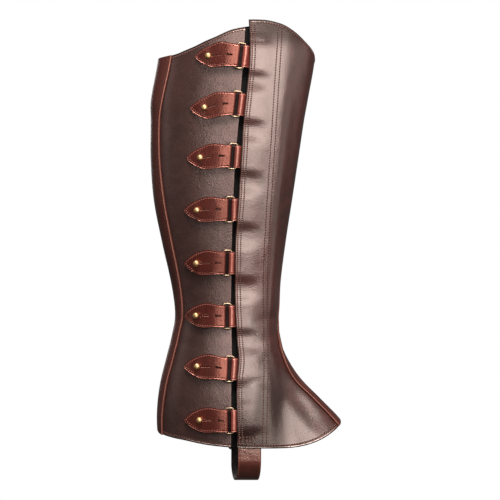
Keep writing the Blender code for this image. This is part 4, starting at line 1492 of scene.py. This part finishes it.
@dataclass
class StirrupStrap:
    """The strap under the boot, with its buckle on the inner side."""

    half_width: float = 12.0
    middle_x: tuple[float, float] = (24.5, 16.8)
    sewn: float = -137.0
    bottom: float = -183.6
    turn: float = -161.0
    tip: float = -101.0
    heel: float = -131.0
    outer_bar: float = -152.0
    frame_half_width: float = 14.3
    frame_corner: float = 2.6
    chape_top: float = -108.0
    chape_half: float = 10.0
    prong: float = 0.9

    def place(self, run: float, across: float, lift: float) -> Vector:
        """Maps height, across and distance from the leg's middle plane to a point."""
        share = min(max((lift + 34) / 68, 0.0), 1.0)
        x = self.middle_x[0] + (self.middle_x[1] - self.middle_x[0]) * share + across
        return Vector((x, lift, run))

    def inner_side(self, height: float, lift: float) -> float:
        """Y of the inner panel's face at the buckle, plus a lift."""
        return side_point(1, self.middle_x[1], height, lift).y

    def outer_side(self, height: float, lift: float) -> float:
        """Y of the outer side at the strap, plus a lift."""
        return side_point(-1, self.middle_x[0], height, lift).y

    def stations(self) -> list[tuple[float, float, float]]:
        """The strap from its sewn end, under the boot and up through the buckle to its tip."""
        near = self.outer_side(self.turn, -SEAT_GAP - STIRRUP / 2)
        far = self.inner_side(self.turn, SEAT_GAP + STIRRUP / 2)
        middle, half = (near + far) / 2, (far - near) / 2
        drop = self.turn - self.bottom - STIRRUP / 2
        under = []
        for i in range(1, 24):
            turn = math.pi * i / 24
            under.append((self.turn - drop * math.sin(turn), middle - half * math.cos(turn), self.half_width))
        heel_lift = SEAT_GAP + KEEPER + GAP + BUCKLE_WIRE
        over_heel = heel_lift + BUCKLE_WIRE + GAP + KEEPER + GAP + STIRRUP / 2
        over_chape = SEAT_GAP + 2 * KEEPER + GAP + SEAT_GAP + STIRRUP / 2
        climb = ((self.turn, SEAT_GAP + STIRRUP / 2), (self.outer_bar + 1.5, SEAT_GAP + STIRRUP / 2),
                 (self.outer_bar + 4, 2.4), (self.heel - 6, 6.0), (self.heel - 2, over_heel),
                 (self.heel + 3, over_heel), (self.heel + 11, over_chape), (self.tip - 8, over_chape))
        made = [(self.sewn + s, self.outer_side(self.sewn + s, -SEAT_GAP - STIRRUP / 2), self.half_width)
                for s in (0, -6, -12)]
        made += [(self.turn, near, self.half_width)] + under
        made += [(height, self.inner_side(height, lift), self.half_width) for height, lift in climb]
        made += [(self.tip - 3, self.inner_side(self.tip, over_chape), 8.5),
                 (self.tip, self.inner_side(self.tip, over_chape), 4.0)]
        return made

    def at(self, across: float, height: float, lift: float) -> Vector:
        """A point on the inner side at the buckle."""
        return Vector((self.middle_x[1] + across, self.inner_side(height, lift), height))

    def build(self) -> None:
        """Makes the strap, its chape, the frame and the prong, and sews them."""
        # Its flesh side is the near-black copy: painted shade
        hide = Hide("stirrup_leather", ribbon_rows(self.stations(), self.place), STIRRUP, STIRRUP_HIDE,
                    RED_EDGE, centred=True, bevel=0.45, flesh=SHADED_FLESH)
        hand_in(hide.build(Held.FOLDED), Slot.RED, "stirrup_strap")
        self.chape()
        self.metal()
        self.sew()

    def chape(self) -> None:
        """The folded strip that holds the buckle."""
        heel_lift = SEAT_GAP + KEEPER + GAP + BUCKLE_WIRE
        upper, lower = SEAT_GAP + 1.5 * KEEPER + GAP, SEAT_GAP + KEEPER / 2
        path = [(self.chape_top, upper), (self.heel + 14, upper), (self.heel + 8, upper)]
        path += arc((self.heel, heel_lift), BUCKLE_WIRE + GAP + KEEPER / 2, 75, 280, 12)
        path += [(self.heel + 6, lower), (self.heel + 14, lower), (self.chape_top, lower)]
        stations = [(height, lift, self.chape_half) for height, lift in path]
        rows = ribbon_rows(stations, lambda run, across, lift: self.at(across, run, lift))
        hide = Hide("chape_leather", rows, KEEPER, RED_HIDE, RED_EDGE, centred=True, grain_out=False,
                    bevel=0.35)
        hand_in(hide.build(Held.FOLDED), Slot.RED, "buckle_chape")

    def metal(self) -> None:
        """The buckle's frame and prong."""
        outer_lift = SEAT_GAP + STIRRUP + GAP + BUCKLE_WIRE
        heel_lift = SEAT_GAP + KEEPER + GAP + BUCKLE_WIRE
        middle = (self.heel + self.outer_bar) / 2
        half = (self.heel - self.outer_bar) / 2
        loop = []
        for across, up in rounded_loop(self.frame_half_width, half, self.frame_corner, 6):
            share = (up + half) / (2 * half)
            loop.append(self.at(across, middle + up, outer_lift + (heel_lift - outer_lift) * share))
        frame = wire_object("buckle_wire", loop, BUCKLE_WIRE, WIRE_BRASS, True)
        hand_in(frame, Slot.BRASS, "buckle_frame")
        path = arc((self.heel, heel_lift), BUCKLE_WIRE + GAP + self.prong, -60, 120, 12)
        path += [(self.outer_bar, outer_lift + BUCKLE_WIRE + GAP + self.prong),
                 (self.outer_bar - 1.5, outer_lift + BUCKLE_WIRE + self.prong)]
        points = [self.at(0, height, lift) for height, lift in path]
        prong = wire_object("prong_wire", points, self.prong, WIRE_BRASS, False)
        hand_in(prong, Slot.BRASS, "buckle_prong")

    def sew(self) -> None:
        """Crossed stitches that fix the strap inside the outer hem."""
        sewing = Sewing(length=2.4, width=0.8, height=0.7)
        left, right, low, high = 13.0, 33.0, -145.0, -137.0
        rows = [((left, low), (right, high)), ((left, high), (right, low)), ((left, high), (right, high))]
        for (x0, z0), (x1, z1) in rows:
            places = [(x0 + (x1 - x0) * i / 12, z0 + (z1 - z0) * i / 12) for i in range(13)]
            angles = [(angle_at(x, z), z) for x, z in places]
            points = [lifted(a, z, flap_lift(a, z) + crease_lift(a, z) + THREAD_LIFT) for a, z in angles]
            sewing.run(points, [normal_at(a, z) for a, z in angles], 3.2)
        sewing.build("anchor", THREAD, Slot.BROWN)


@dataclass
class Studio:
    """A dark floor, soft light and the camera at the photograph's angle."""

    floor_drop: float = 480.0
    floor_size: float = 5.0

    def floor(self) -> None:
        """A wide dark grey floor, far enough down to stay out of the picture."""
        bpy.ops.object.select_all(action="DESELECT")
        bpy.ops.mesh.primitive_plane_add(size=self.floor_size, location=(0, 0, -self.floor_drop * MM))
        obj = bpy.context.object
        obj.name = "studio_floor"
        made, _, shader = new_material("matt_grey_floor")
        shader.inputs["Base Color"].default_value = linear("343230")
        shader.inputs["Roughness"].default_value = 0.95
        obj.data.materials.append(made)
        obj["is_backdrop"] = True

    def area_light(self, name: str, place: tuple[float, float, float], size: tuple[float, float],
                   power: float, colour: str) -> None:
        """A soft box that faces the gaiter's middle.

        Args:
            name: the light's name.
            place: in metres.
            size: in metres.
            power: in watts.
            colour: sRGB hex.
        """
        data = bpy.data.lights.new(name, "AREA")
        data.shape = "RECTANGLE"
        data.size, data.size_y = size
        data.energy = power
        data.color = linear(colour)[:3]
        obj = bpy.data.objects.new(name, data)
        obj.location = place
        aim = Vector(LIGHTS_AIM) - Vector(place)
        obj.rotation_euler = aim.to_track_quat("-Z", "Y").to_euler()
        bpy.context.scene.collection.objects.link(obj)

    def world(self) -> None:
        """White surroundings that the camera sees bright and the leather sees dimmer."""
        world = bpy.data.worlds.new("white_studio")
        world.use_nodes = True
        tree = world.node_tree
        sky = tree.nodes["Background"]
        sky.inputs["Color"].default_value = linear("ffffff")
        seen = add_node(tree, "ShaderNodeLightPath").outputs["Is Camera Ray"]
        strength = add_node(tree, "ShaderNodeMapRange", inputs={0: seen, 1: 0.0, 2: 1.0, 3: 0.14, 4: 1.0})
        tree.links.new(strength.outputs[0], sky.inputs["Strength"])
        bpy.context.scene.world = world
        bpy.context.scene.view_settings.view_transform = "Standard"

    def camera(self) -> None:
        """The camera, level and square to the outer side."""
        data = bpy.data.cameras.new("camera")
        data.sensor_width = SENSOR
        data.sensor_fit = "HORIZONTAL"
        data.lens = SENSOR * CAMERA_DISTANCE / VIEW_WIDTH
        data.clip_end = 100.0
        obj = bpy.data.objects.new("camera", data)
        obj.location = (VIEW_MIDDLE[0] * MM, -CAMERA_DISTANCE * MM, VIEW_MIDDLE[1] * MM)
        obj.rotation_euler = (math.radians(90), 0, 0)
        bpy.context.scene.collection.objects.link(obj)
        bpy.context.scene.camera = obj

    def build(self) -> None:
        """Sets up the studio."""
        self.floor()
        self.world()
        for row in LIGHTS:
            self.area_light(*row)
        self.camera()


def main() -> None:
    """Builds the gaiter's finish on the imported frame."""
    logging.basicConfig(level=logging.INFO, format="%(name)s %(message)s")
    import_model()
    cad_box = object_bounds()
    Studio().build()
    LegPanels().build()
    Closures().build()
    StirrupStrap().build()
    boxes = {"cad": cad_box, "visual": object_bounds()}
    plain = {name: [[float(v) for v in corner] for corner in box] for name, box in boxes.items()}


if __name__ == "__main__":
    main()
